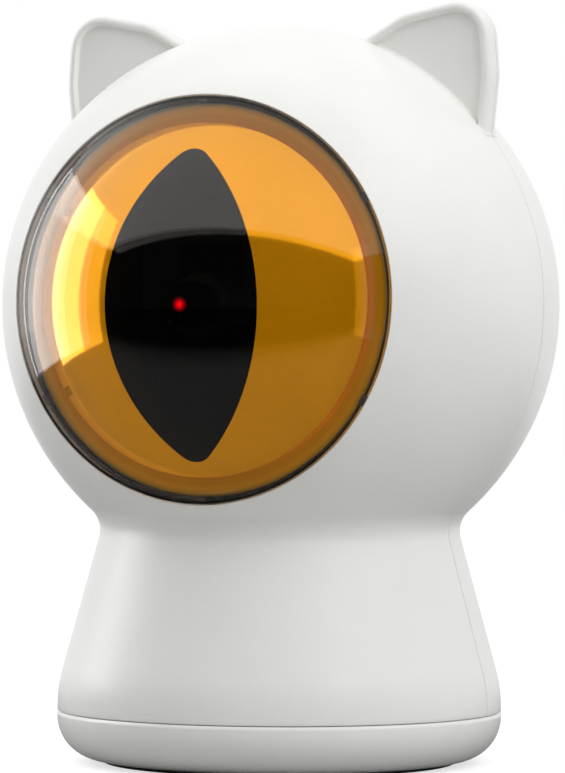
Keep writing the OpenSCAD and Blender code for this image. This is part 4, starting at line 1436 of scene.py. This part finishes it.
class NodeBench:
    """Short calls that place and link shader nodes in one tree."""

    def __init__(self, tree: bpy.types.NodeTree) -> None:
        """Works in the given tree."""
        self.tree = tree

    def put(self, socket: bpy.types.NodeSocket, value: Value) -> None:
        """Links a socket, or sets it where the value is a number or a colour.

        Args:
            socket: The input socket.
            value: A socket, a number or a colour.
        """
        if isinstance(value, bpy.types.NodeSocket):
            self.tree.links.new(value, socket)
        elif isinstance(value, tuple) and len(socket.default_value) == 4:
            socket.default_value = (*value, 1.0)
        else:
            socket.default_value = value

    def fill(self, node: bpy.types.Node, **values: Value) -> None:
        """Links or sets a node's inputs, with underscores in their names for spaces."""
        for key, value in values.items():
            self.put(node.inputs[key.replace("_", " ")], value)

    def node(self, kind: str, **settings: object) -> bpy.types.Node:
        """Adds a node and sets its own properties.

        Args:
            kind: Blender's name for the kind of node.
            **settings: The node's own properties.

        Returns:
            The node.
        """
        made = self.tree.nodes.new(kind)
        for key, value in settings.items():
            setattr(made, key, value)
        return made

    def math(self, operation: str, *values: Value) -> bpy.types.NodeSocket:
        """One arithmetic step.

        Args:
            operation: Blender's name for the step.
            *values: What it works on.

        Returns:
            The output socket.
        """
        made = self.node("ShaderNodeMath", operation=operation)
        for socket, value in zip(made.inputs, values):
            self.put(socket, value)
        return made.outputs[0]

    def sum_of(self, a: Value, b: Value, share: float) -> bpy.types.NodeSocket:
        """Share times a, plus the rest of 1 times b."""
        rest = round(1.0 - share, 6)
        return self.math("ADD", self.math("MULTIPLY", a, share), self.math("MULTIPLY", b, rest))

    def length(self, x: Value, y: Value) -> bpy.types.NodeSocket:
        """Root of x squared plus y squared."""
        squares = self.math("MULTIPLY", x, x), self.math("MULTIPLY", y, y)
        return self.math("SQRT", self.math("ADD", *squares))

    def parts(self, vector: Value) -> Sequence[bpy.types.NodeSocket]:
        """The X, Y and Z of a vector.

        Args:
            vector: Socket of the vector.

        Returns:
            The three output sockets.
        """
        made = self.node("ShaderNodeSeparateXYZ")
        self.put(made.inputs[0], vector)
        return made.outputs

    def noise(
        self, at: Value, scale: Value, detail: float, rough: float = 0.5
    ) -> bpy.types.NodeSocket:
        """A noise value from 0 to 1.

        Args:
            at: Socket of the place.
            scale: Grains per metre.
            detail: Number of finer layers.
            rough: Weight of each finer layer.

        Returns:
            The output socket.
        """
        made = self.node("ShaderNodeTexNoise")
        self.fill(made, Vector=at, Scale=scale, Detail=detail, Roughness=rough)
        return made.outputs["Fac"]

    def spread(
        self, value: Value, start: tuple[float, float], to: tuple[Value, Value] = (0.0, 1.0)
    ) -> bpy.types.NodeSocket:
        """Maps a value from the range start onto the range to, held at the ends.

        Args:
            value: The value.
            start: Range that it has.
            to: Range that it gets.

        Returns:
            The output socket.
        """
        made = self.node("ShaderNodeMapRange", clamp=True)
        for socket, entry in zip(made.inputs, (value, *start, *to)):
            self.put(socket, entry)
        return made.outputs[0]

    def blend(self, share: Value, a: Value, b: Value) -> bpy.types.NodeSocket:
        """Mixes two colours.

        Args:
            share: Share of b, from 0 to 1.
            a: Colour at 0.
            b: Colour at 1.

        Returns:
            The output socket.
        """
        made = self.node("ShaderNodeMix", data_type="RGBA")
        self.fill(made, Factor=share, A=a, B=b)
        return made.outputs["Result"]


@dataclass(frozen=True)
class GroupSocket:
    """Name, kind and start value of one socket of a shared node group."""

    name: str
    kind: str = "NodeSocketFloat"
    start: Optional[float] = None


def new_group(
    name: str, takes: Sequence[GroupSocket], gives: Sequence[GroupSocket]
) -> tuple[bpy.types.NodeTree, NodeBench, bpy.types.Node, bpy.types.Node]:
    """Starts a shader node group with named sockets.

    Args:
        name: Name of the group.
        takes: Its inputs.
        gives: Its outputs.

    Returns:
        The tree, a bench on it, and its input and output nodes.
    """
    tree = bpy.data.node_groups.new(name, "ShaderNodeTree")
    for sockets, way in ((takes, "INPUT"), (gives, "OUTPUT")):
        for entry in sockets:
            made = tree.interface.new_socket(entry.name, in_out=way, socket_type=entry.kind)
            if entry.start is not None:
                made.default_value = entry.start
    bench = NodeBench(tree)
    return tree, bench, bench.node("NodeGroupInput"), bench.node("NodeGroupOutput")


class SharedEffects:
    """Node groups that several finishes place with their own values."""

    def __init__(self) -> None:
        """Builds each group once."""
        self.moulded_grain = self._moulded_grain()
        self.handling = self._handling()
        self.turning_lines = self._turning_lines()

    @staticmethod
    def _moulded_grain() -> bpy.types.NodeTree:
        """Fine texture of a moulded face: a height from two noises, and a tone that follows it.

        Returns:
            The group.
        """
        tree, b, takes, gives = new_group(
            "moulded_grain",
            [
                GroupSocket("Vector", "NodeSocketVector"),
                GroupSocket("Size per metre", start=2600.0),
                GroupSocket("Flow", start=0.4),
            ],
            [GroupSocket("Height"), GroupSocket("Tone")],
        )
        place, size, flow = (takes.outputs[k] for k in ("Vector", "Size per metre", "Flow"))
        fine = b.noise(place, size, 3.0, 0.55)
        wide = b.noise(place, b.math("MULTIPLY", size, 0.045), 2.0)
        height = b.math("ADD", fine, b.math("MULTIPLY", wide, flow))
        b.fill(gives, Height=height, Tone=b.sum_of(wide, fine, 0.6))
        return tree

    @staticmethod
    def _handling() -> bpy.types.NodeTree:
        """Soft smears that handling leaves: a mask from stretched noise, cut at a threshold.

        Returns:
            The group.
        """
        tree, b, takes, gives = new_group(
            "handling",
            [
                GroupSocket("Vector", "NodeSocketVector"),
                GroupSocket("Size per metre", start=60.0),
                GroupSocket("Amount", start=0.5),
            ],
            [GroupSocket("Mask")],
        )
        turn = b.node("ShaderNodeMapping")
        place = takes.outputs["Vector"]
        b.fill(turn, Vector=place, Rotation=(0.5, 0.3, 0.8), Scale=(1.0, 2.4, 0.8))
        smear = b.noise(turn.outputs[0], takes.outputs["Size per metre"], 5.0, 0.6)
        cut = b.spread(smear, (0.48, 0.72))
        b.fill(gives, Mask=b.math("MULTIPLY", cut, takes.outputs["Amount"]))
        return tree

    @staticmethod
    def _turning_lines() -> bpy.types.NodeTree:
        """Fine lines round an axis, as turning or drawing leaves on metal.

        Returns:
            The group.
        """
        tree, b, takes, gives = new_group(
            "turning_lines",
            [
                GroupSocket("Vector", "NodeSocketVector"),
                GroupSocket("Lines per metre", start=6000.0),
            ],
            [GroupSocket("Height"), GroupSocket("Shade")],
        )
        squash = b.node("ShaderNodeMapping")
        b.fill(squash, Vector=takes.outputs["Vector"], Scale=(0.08, 1.0, 0.08))
        lines = b.noise(squash.outputs[0], takes.outputs["Lines per metre"], 2.0, 0.7)
        stain = b.noise(takes.outputs["Vector"], 240.0, 3.0)
        b.fill(gives, Height=lines, Shade=b.sum_of(lines, stain, 0.5))
        return tree


@dataclass(frozen=True)
class Finish:
    """Base of all finishes: a named material with one Principled shader."""

    name: str
    effects: SharedEffects

    def start(self) -> tuple[bpy.types.Material, NodeBench, bpy.types.Node, bpy.types.NodeSocket]:
        """Makes the material.

        Returns:
            The material, a bench on its tree, its shader, and the object coordinates.
        """
        material = bpy.data.materials.new(self.name)
        material.use_nodes = True
        bench = NodeBench(material.node_tree)
        shader = material.node_tree.nodes["Principled BSDF"]
        place = bench.node("ShaderNodeTexCoord").outputs["Object"]
        return material, bench, shader, place

    def make(self) -> bpy.types.Material:
        """Builds the material. Each finish has its own way."""
        raise NotImplementedError

    def group(
        self, bench: NodeBench, tree: bpy.types.NodeTree, **values: Value
    ) -> Sequence[bpy.types.NodeSocket]:
        """Places a shared group, sets its inputs and gives its outputs.

        Args:
            bench: Bench of the material.
            tree: The shared group.
            **values: Its inputs, with underscores for spaces.

        Returns:
            The group node's output sockets.
        """
        made = bench.node("ShaderNodeGroup", node_tree=tree)
        bench.fill(made, **values)
        return made.outputs

    def bump(self, bench: NodeBench, shader: bpy.types.Node, height: Value, depth: float) -> None:
        """Feeds a height from 0 to 1, of the depth in metres, to the shader's normal.

        Args:
            bench: Bench of the material.
            shader: Its shader.
            height: Socket of the height.
            depth: Depth in metres of a height of 1.
        """
        made = bench.node("ShaderNodeBump")
        bench.fill(made, Strength=1.0, Distance=depth, Height=height)
        bench.fill(shader, Normal=made.outputs["Normal"])


@dataclass(frozen=True)
class Moulded(Finish):
    """Moulded plastic or rubber: grain, a slight change of tone, and handling smears."""

    colour: Colour = (0.8, 0.8, 0.8)
    deep: Colour = (0.75, 0.75, 0.75)
    rough: float = 0.35
    rough_worn: float = 0.42
    grain: float = 2600.0
    depth: float = 2.0e-6
    flow: float = 0.4
    smear: float = 0.5
    level: float = 0.5
    soft: float = 0.0

    def make(self) -> bpy.types.Material:
        """Builds the material.

        Returns:
            The material.
        """
        material, b, shader, place = self.start()
        grain = self.group(
            b,
            self.effects.moulded_grain,
            Vector=place,
            Size_per_metre=self.grain,
            Flow=self.flow,
        )
        smear = self.group(b, self.effects.handling, Vector=place, Amount=self.smear)
        tone = b.spread(grain["Tone"], (0.35, 0.65))
        b.fill(
            shader,
            Base_Color=b.blend(tone, self.deep, self.colour),
            Roughness=b.spread(smear["Mask"], (0.0, 1.0), (self.rough, self.rough_worn)),
            Specular_IOR_Level=self.level,
        )
        if self.soft:
            b.fill(
                shader,
                Subsurface_Weight=self.soft,
                Subsurface_Radius=(1.0, 0.9, 0.8),
                Subsurface_Scale=0.0012,
            )
        self.bump(b, shader, grain["Height"], self.depth)
        return material


@dataclass(frozen=True)
class Metal(Finish):
    """Plated or turned metal with fine lines and faint stains."""

    colour: Colour = (0.62, 0.63, 0.65)
    stain: Colour = (0.50, 0.50, 0.51)
    rough: float = 0.24
    depth: float = 1.5e-6
    lines: float = 6000.0

    def make(self) -> bpy.types.Material:
        """Builds the material.

        Returns:
            The material.
        """
        material, b, shader, place = self.start()
        lines = self.group(b, self.effects.turning_lines, Vector=place, Lines_per_metre=self.lines)
        tone = b.spread(lines["Shade"], (0.35, 0.65))
        b.fill(
            shader,
            Base_Color=b.blend(tone, self.stain, self.colour),
            Roughness=b.spread(lines["Shade"], (0.3, 0.7), (self.rough * 0.8, self.rough * 1.3)),
            Metallic=1.0,
        )
        self.bump(b, shader, lines["Height"], self.depth)
        return material


@dataclass(frozen=True)
class ClearShell(Finish):
    """Clear or dark glass-like plastic with faint handling marks in its gloss."""

    colour: Colour = (0.97, 0.95, 0.92)
    ior: float = 1.38
    rough: float = 0.0
    rough_worn: float = 0.02

    def make(self) -> bpy.types.Material:
        """Builds the material.

        Returns:
            The material.
        """
        material, b, shader, place = self.start()
        smear = self.group(b, self.effects.handling, Vector=place, Size_per_metre=45.0, Amount=1.0)
        b.fill(
            shader,
            Base_Color=self.colour,
            Roughness=b.spread(smear["Mask"], (0.0, 1.0), (self.rough, self.rough_worn)),
            IOR=self.ior,
            Metallic=0.0,
            Transmission_Weight=1.0,
        )
        return material


@dataclass(frozen=True)
class AmberMirror(Finish):
    """Amber mirror coat that turns through olive to black across the iris's flange.

    The masks are ranges of the distance from the eye's axis, in millimetres, which is read
    from object coordinates.
    """

    form: BodyForm = field(default_factory=BodyForm)
    colour: Colour = (0.95, 0.405, 0.002)
    olive: Colour = (0.13, 0.085, 0.010)
    black: Colour = (0.012, 0.010, 0.007)
    rough: float = 0.05
    metal: tuple[float, float] = (0.7, 0.15)
    olive_at: tuple[float, float] = (25.1, 26.6)
    black_at: tuple[float, float] = (26.3, 27.2)

    def make(self) -> bpy.types.Material:
        """Builds the material.

        Returns:
            The material.
        """
        material, b, shader, place = self.start()
        x, _, z = b.parts(place)
        reach = b.length(x, b.math("SUBTRACT", z, self.form.head_z * MM))
        start, end = (r * MM for r in self.olive_at)
        to_olive = b.spread(reach, (start, end))
        to_black = b.spread(reach, (self.black_at[0] * MM, self.black_at[1] * MM))
        veil = b.spread(b.noise(place, 90.0, 3.0), (0.3, 0.7))
        amber = b.blend(veil, tuple(c * 0.93 for c in self.colour), self.colour)
        speck = self.group(
            b, self.effects.moulded_grain, Vector=place, Size_per_metre=1800.0, Flow=0.2
        )
        b.fill(
            shader,
            Base_Color=b.blend(to_black, b.blend(to_olive, amber, self.olive), self.black),
            Roughness=b.spread(speck["Tone"], (0.3, 0.7), (self.rough, self.rough * 1.6)),
            Metallic=b.spread(reach, (start, end), self.metal),
        )
        return material


@dataclass(frozen=True)
class LaserGlow(Finish):
    """The lit laser lens: its red is brightest on the barrel's axis."""

    height: float = 0.0647
    colour: Colour = (0.80, 0.03, 0.02)
    dull: Colour = (0.10, 0.01, 0.01)
    light: Colour = (1.0, 0.0, 0.006)
    core: float = 30.0
    reach: float = 0.0012

    def make(self) -> bpy.types.Material:
        """Builds the material.

        Returns:
            The material.
        """
        material, b, shader, place = self.start()
        x, _, z = b.parts(place)
        r = b.length(x, b.math("SUBTRACT", z, self.height))
        glow = b.math("POWER", b.spread(r, (0.0, self.reach), (1.0, 0.0)), 2.5)
        b.fill(
            shader,
            Base_Color=b.blend(glow, self.dull, self.colour),
            Emission_Color=b.blend(glow, (0.0, 0.0, 0.0), self.light),
            Emission_Strength=self.core,
            Roughness=0.15,
        )
        return material


@dataclass(frozen=True)
class BoardCoat(Finish):
    """Solder mask over faint copper runs, from two sets of square bands."""

    colour: Colour = (0.03, 0.24, 0.12)
    run: Colour = (0.05, 0.34, 0.17)

    def make(self) -> bpy.types.Material:
        """Builds the material.

        Returns:
            The material.
        """
        material, b, shader, place = self.start()
        cells = b.node("ShaderNodeTexVoronoi", distance="MANHATTAN", feature="DISTANCE_TO_EDGE")
        b.fill(cells, Vector=place, Scale=420.0)
        mask = b.spread(cells.outputs["Distance"], (0.06, 0.10), (1.0, 0.0))
        b.fill(shader, Base_Color=b.blend(mask, self.colour, self.run), Roughness=0.3)
        self.bump(b, shader, mask, 2.0e-5)
        return material


@dataclass(frozen=True)
class CellSleeve(Finish):
    """Plain printed sleeve of a cell, with a dark band below."""

    colour: Colour = (0.12, 0.32, 0.20)
    band: Colour = (0.03, 0.04, 0.04)
    band_top: tuple[float, float] = (0.0185, 0.0188)

    def make(self) -> bpy.types.Material:
        """Builds the material.

        Returns:
            The material.
        """
        material, b, shader, place = self.start()
        low = b.spread(b.parts(place)[2], self.band_top, (1.0, 0.0))
        grain = self.group(b, self.effects.moulded_grain, Vector=place, Size_per_metre=900.0)
        tone = b.spread(grain["Tone"], (0.3, 0.7))
        green = b.blend(tone, tuple(c * 0.9 for c in self.colour), self.colour)
        b.fill(shader, Base_Color=b.blend(low, green, self.band), Roughness=0.28)
        return material


class Wardrobe:
    """All finishes of this toy, by slot."""

    def __init__(self, form: BodyForm) -> None:
        """Makes each finish once.

        Args:
            form: The body's outline, for finishes that follow it.
        """
        e = SharedEffects()
        dark = (0.06, 0.055, 0.055)
        finishes: dict[Slot, Finish] = {
            Slot.CASING: Moulded(
                "white_casing", e, colour=(0.86, 0.86, 0.835), deep=(0.835, 0.835, 0.81),
                rough=0.30, rough_worn=0.36, grain=2200.0, depth=1.6e-6, smear=0.6,
            ),
            Slot.RUBBER: Moulded(
                "foot_rubber", e, colour=(0.055, 0.055, 0.06), deep=(0.04, 0.04, 0.045),
                rough=0.72, rough_worn=0.6, grain=1500.0, depth=1.2e-5, smear=0.7, level=0.3,
            ),
            Slot.STEEL: Metal("plated_steel", e),
            Slot.CLEAR_DOME: ClearShell("clear_dome_plastic", e),
            Slot.AMBER_MIRROR: AmberMirror("amber_mirror_coat", e, form=form),
            Slot.DARK_WINDOW: ClearShell("dark_window_plastic", e, colour=dark),
            Slot.BLACK_PLASTIC: Moulded(
                "black_plastic", e, colour=(0.03, 0.03, 0.032), deep=(0.022, 0.022, 0.024),
                rough=0.48, rough_worn=0.40, grain=1800.0, depth=5.0e-6,
            ),
            Slot.GREY_PLASTIC: Moulded(
                "grey_plastic", e, colour=(0.33, 0.34, 0.36), deep=(0.29, 0.30, 0.32),
                rough=0.42, rough_worn=0.34, grain=1600.0, depth=5.0e-6,
            ),
            Slot.NYLON: Moulded(
                "gear_nylon", e, colour=(0.80, 0.79, 0.73), deep=(0.76, 0.75, 0.69),
                rough=0.38, rough_worn=0.30, grain=1400.0, depth=3.0e-6, soft=0.2,
            ),
            Slot.BRASS: Metal(
                "turned_brass", e, colour=(0.72, 0.53, 0.22), stain=(0.58, 0.41, 0.16),
                rough=0.22, lines=9000.0,
            ),
            Slot.LASER_GLASS: LaserGlow("laser_lens_lit", e),
            Slot.CELL_SLEEVE: CellSleeve("cell_sleeve", e),
            Slot.CIRCUIT_BOARD: BoardCoat("solder_mask", e),
            Slot.CHIP_BLACK: Moulded(
                "chip_compound", e, colour=(0.045, 0.045, 0.05), deep=(0.03, 0.03, 0.033),
                rough=0.55, rough_worn=0.5, grain=5000.0, depth=6.0e-6, smear=0.2,
            ),
        }
        self.by_slot = {slot: finish.make() for slot, finish in finishes.items()}

    def dress(self, piece: bpy.types.Object, slot: Slot) -> None:
        """Gives a piece the finish of its slot in place of what it had."""
        piece.data.materials.clear()
        piece.data.materials.append(self.by_slot[slot])


# ---- Studio ---------------------------------------------------------------------


@dataclass(frozen=True)
class SoftPanel:
    """A rectangular lamp that faces a point.

    Its centre, size and target are in millimetres. Its level is how bright its face shows,
    where 1 is white.
    """

    name: str
    centre: tuple[float, float, float]
    size: tuple[float, float]
    target: tuple[float, float, float]
    level: float
    use: PanelUse

    def hang(self) -> bpy.types.Object:
        """Makes the lamp, whose power is pi times its area times its level.

        Returns:
            The lamp.
        """
        data = bpy.data.lights.new(self.name, "AREA")
        data.shape = "RECTANGLE"
        data.size, data.size_y = (s * MM for s in self.size)
        data.energy = math.pi * self.size[0] * self.size[1] * MM * MM * self.level
        lamp = link_object(self.name, data)
        at, to = np.array(self.centre), np.array(self.target)
        z = unit(at - to)
        guide = np.array([0, 0, 1.0]) if abs(z[2]) < 0.95 else np.array([0, 1.0, 0])
        x = unit(np.cross(guide, z))
        lamp.matrix_world = axes_matrix(x, np.cross(z, x), z, at)
        lamp.visible_camera = False
        lamp.visible_glossy = lamp.visible_transmission = self.use is PanelUse.SHINE
        lamp.visible_diffuse = self.use is PanelUse.LIGHT
        return lamp


def mirror_ray(bench: NodeBench, path: bpy.types.Node) -> bpy.types.NodeSocket:
    """Tells a ray that a mirror or glass sends on from one that soft surfaces scatter.

    Args:
        bench: Bench of the material or world.
        path: Its Light Path node.

    Returns:
        1 for glossy and transmission rays that no soft surface has scattered, and 0 otherwise.
    """
    bent = bench.math("MAXIMUM", path.outputs["Is Glossy Ray"], path.outputs["Is Transmission Ray"])
    clean = bench.math("LESS_THAN", path.outputs["Diffuse Depth"], 0.5)
    return bench.math("MULTIPLY", bent, clean)


def inward_ray(bench: NodeBench, path: bpy.types.Node) -> bpy.types.NodeSocket:
    """Finds the light that reaches soft surfaces through the clear dome.

    Lamps don't shine straight through glass, so the surround is brighter for these rays.

    Args:
        bench: Bench of the material or world.
        path: Its Light Path node.

    Returns:
        1 for transmission rays that a soft surface has scattered, and 0 otherwise.
    """
    scattered = bench.math("GREATER_THAN", path.outputs["Diffuse Depth"], 0.5)
    return bench.math("MULTIPLY", path.outputs["Is Transmission Ray"], scattered)


def about(axis: int, turn: float) -> Points:
    """Matrix that turns by an angle about one axis.

    Args:
        axis: 0 for X, 1 for Y or 2 for Z.
        turn: The angle in radians.

    Returns:
        The matrix, of shape (3, 3).
    """
    i, j = (axis + 1) % 3, (axis + 2) % 3
    matrix = np.eye(3)
    matrix[i, i] = matrix[j, j] = math.cos(turn)
    matrix[j, i], matrix[i, j] = math.sin(turn), -math.sin(turn)
    return matrix


@dataclass
class Studio:
    """White floor and surround, soft panels, and the camera at the photograph's place.

    Lengths are in millimetres and angles in degrees. The floor and the surround have their
    own levels for rays that a mirror or glass sends on, and for rays inside the dome.
    """

    form: BodyForm
    azimuth: float = 23.08
    distance: float = 554.18
    height: float = 49.55
    yaw: float = -0.0286
    pitch: float = -0.4456
    roll: float = 0.2406
    focal_px: float = 3851.4
    picture_height: int = 773
    sensor_height: float = 36.0
    clip: tuple[float, float] = (0.01, 50.0)
    floor_reach: float = 1400.0
    floor_tone: float = 0.50
    floor_glow: float = 0.66
    floor_glow_far: float = 0.95
    floor_in_gloss: float = 0.26
    floor_in_dome: float = 1.2
    floor_glow_from: tuple[float, float] = (70.0, 300.0)
    floor_front: tuple[float, float] = (-220.0, -140.0)
    floor_back: tuple[float, float] = (50.0, 400.0)
    surround: float = 0.30
    surround_in_dome: float = 1.7
    surround_front: float = 0.015
    surround_back: tuple[float, float] = (0.0, 0.35)

    def panels(self) -> list[SoftPanel]:
        """The lamps: a wide pair overhead, four panels at the left and two at the right.

        The panels that only shine are placed by where they show in the eye. The overhead one
        hangs lower than its light, so that neither hides the other.

        Returns:
            The lamps, not yet made.
        """
        h = self.form.head_z
        light, shine = PanelUse.LIGHT, PanelUse.SHINE
        rows = [
            ("overhead_light", (0, -200, h + 450), (2400, 720), (0, -200, 0), 0.80, light),
            ("overhead_shine", (0, -326, h + 442), (2400, 964), (0, -326, 0), 0.95, shine),
            ("left_light", (-560, 60, 330), (420, 520), (0, 0, 60), 2.6, light),
            ("left_back_shine", (-170, 25, 84), (42, 122), (0, 25, 84), 0.42, shine),
            ("left_core_shine", (-170, -30, 94.5), (68, 143), (0, -30, 94.5), 2.8, shine),
            ("left_front_shine", (-170, -86, 94.5), (44, 143), (0, -86, 94.5), 1.1, shine),
            ("right_light", (520, -150, 430), (420, 520), (0, 0, 70), 2.7, light),
            ("right_shine", (196, -131, 82), (22, 146), (22, -27, 68), 0.36, shine),
        ]
        return [SoftPanel(*row) for row in rows]

    def set_camera(self) -> None:
        """Places the camera from the fit: its axes turn by yaw, pitch and roll in that order."""
        a, yaw, pitch, roll = np.radians([self.azimuth, self.yaw, self.pitch, self.roll])
        rows = np.array([[np.cos(a), np.sin(a), 0], [0, 0, -1.0], [-np.sin(a), np.cos(a), 0]])
        axes = about(2, roll) @ about(0, pitch) @ about(1, yaw) @ rows
        place = [self.distance * np.sin(a), -self.distance * np.cos(a), self.height]
        data = bpy.data.cameras.new("photo_view")
        data.sensor_fit = "VERTICAL"
        data.sensor_height = self.sensor_height
        data.lens = self.focal_px * self.sensor_height / self.picture_height
        data.clip_start, data.clip_end = self.clip
        camera = link_object("photo_view", data)
        camera.matrix_world = axes_matrix(axes[0], -axes[1], -axes[2], np.array(place))
        bpy.context.scene.camera = camera

    def set_surround(self) -> None:
        """Plain light all round.

        It shows white to the camera, and to mirrors and glass only from behind the toy, by
        the Y of the ray's direction.
        """
        world = bpy.data.worlds.new("studio_surround")
        bpy.context.scene.world = world
        world.use_nodes = True
        b = NodeBench(world.node_tree)
        path = b.node("ShaderNodeLightPath")
        y = b.parts(b.node("ShaderNodeTexCoord").outputs["Generated"])[1]
        mirrored = mirror_ray(b, path)
        gloss = b.math(
            "MULTIPLY", mirrored, b.spread(y, self.surround_back, (self.surround_front, 1.0))
        )
        levels = self.surround, self.surround_in_dome
        plain = b.spread(inward_ray(b, path), (0.0, 1.0), levels)
        soft = b.math("MULTIPLY", b.math("SUBTRACT", 1.0, mirrored), plain)
        far = b.math("MAXIMUM", gloss, soft)
        strength = b.math("MAXIMUM", path.outputs["Is Camera Ray"], far)
        back = world.node_tree.nodes["Background"]
        b.fill(back, Color=(1.0, 1.0, 1.0), Strength=strength)

    def floor_paper(self) -> bpy.types.Material:
        """Pale paper that glows for the camera, so that it shows white but keeps a shadow.

        A mirrored ray sees it dark in front of the toy and white behind it. Rays inside the
        dome see it glow, in place of the light that lamps can't send through glass.

        Returns:
            The material.
        """
        material = bpy.data.materials.new("floor_paper")
        material.use_nodes = True
        b = NodeBench(material.node_tree)
        place = b.node("ShaderNodeTexCoord").outputs["Object"]
        path = b.node("ShaderNodeLightPath")
        x, y, _ = b.parts(place)
        front, back, ring = (
            (low * MM, high * MM)
            for low, high in (self.floor_front, self.floor_back, self.floor_glow_from)
        )
        mirrored = mirror_ray(b, path)
        near = b.spread(y, front, (0.0, self.floor_in_gloss))
        dim = b.math("SUBTRACT", 1.0, b.math("MULTIPLY", mirrored, b.math("SUBTRACT", 1.0, near)))
        tone = b.spread(b.noise(place, 400.0, 4.0), (0.3, 0.7), (0.97, 1.0))
        behind = b.math("MULTIPLY", mirrored, b.spread(y, back))
        seen = b.math("MAXIMUM", path.outputs["Is Camera Ray"], behind)
        glow = b.spread(b.length(x, y), ring, (self.floor_glow, self.floor_glow_far))
        lift = b.math("MULTIPLY", inward_ray(b, path), self.floor_in_dome)
        grey = (self.floor_tone,) * 3
        b.fill(
            material.node_tree.nodes["Principled BSDF"],
            Base_Color=b.blend(b.math("MULTIPLY", tone, dim), (0.0, 0.0, 0.0), grey),
            Roughness=0.8,
            Specular_IOR_Level=0.1,
            Emission_Color=(1.0, 1.0, 1.0),
            Emission_Strength=b.math("ADD", b.math("MULTIPLY", seen, glow), lift),
        )
        return material

    def lay_floor(self) -> None:
        """Lays a wide disc, whose rings are at the squares of even steps, so close near the toy."""
        rings = np.linspace(0.02, 1, 24) ** 2 * self.floor_reach
        skin = Skin()
        skin.tube(lathe(coords(rings, 0.0), full_turn(96)))
        floor = skin.build("studio_floor")
        floor.data.materials.append(self.floor_paper())

    def build(self) -> None:
        """Sets up the whole studio."""
        self.set_camera()
        self.set_surround()
        self.lay_floor()
        for panel in self.panels():
            panel.hang()
        bpy.context.scene.view_settings.view_transform = "Standard"


# ---- Assembly -------------------------------------------------------------------


@dataclass
class Toy:
    """Puts the new pieces on their bodies and dresses what the frame carries over."""

    frame: dict
    form: BodyForm
    wardrobe: Wardrobe

    def place(self, piece: bpy.types.Object, body: str, slot: Slot, *nodes: str) -> None:
        """Dresses a piece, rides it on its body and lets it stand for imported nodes.

        Args:
            piece: The new piece.
            body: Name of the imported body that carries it.
            slot: Its material slot.
            nodes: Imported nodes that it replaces.
        """
        self.wardrobe.dress(piece, slot)
        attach(piece, body)
        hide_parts(*nodes)
        LOG.info("%s rides on %s: %d faces", piece.name, body, len(piece.data.polygons))

    def casing(self) -> None:
        """The two shells."""
        casing = Casing(self.form)
        self.place(casing.front(), "casing", Slot.CASING, "front_shell")
        self.place(casing.rear(), "casing", Slot.CASING, "rear_shell")

    def eye(self) -> None:
        """The dome, iris and pupil."""
        eye = Eye(self.form)
        self.place(eye.dome(), "casing", Slot.CLEAR_DOME, "lens_dome")
        self.place(eye.iris(), "casing", Slot.AMBER_MIRROR, "iris_dome")
        self.place(eye.pupil(), "casing", Slot.DARK_WINDOW, "pupil_window")

    def base(self) -> None:
        """The ring, cap, door and button."""
        nodes = self.frame["nodes"]
        self.place(Base(self.form).foot(), "casing", Slot.RUBBER, "foot_ring")
        for node, body in (("base_cap", "casing"), ("battery_door", "door")):
            self.place(smooth_copy(nodes[node], f"{node}_skin"), body, Slot.CASING, node)
        controls = BackControls(self.form)
        button = controls.button(-controls.flange_top + controls.flange_h)
        self.place(button, "button", Slot.GREY_PLASTIC, "power_button")

    def carried_over(self) -> None:
        """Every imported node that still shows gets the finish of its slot."""
        slots = {s["node"]: s.get("material_slot") for s in self.frame["record"]["subparts"]}
        for name, node in self.frame["nodes"].items():
            if not node.hide_render:
                self.wardrobe.dress(node, Slot(slots[name]))
                LOG.info("%s keeps its packed shape", name)

    def build(self) -> None:
        """Builds every sub-assembly in order."""
        self.casing()
        self.eye()
        self.base()
        self.carried_over()


def main() -> None:
    """Loads the frame, and builds the studio and the toy."""
    logging.basicConfig(level=logging.INFO, format="%(name)s: %(message)s")
    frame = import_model()
    form = BodyForm()
    Studio(form).build()
    Toy(frame, form, Wardrobe(form)).build()


if __name__ == "__main__":
    main()
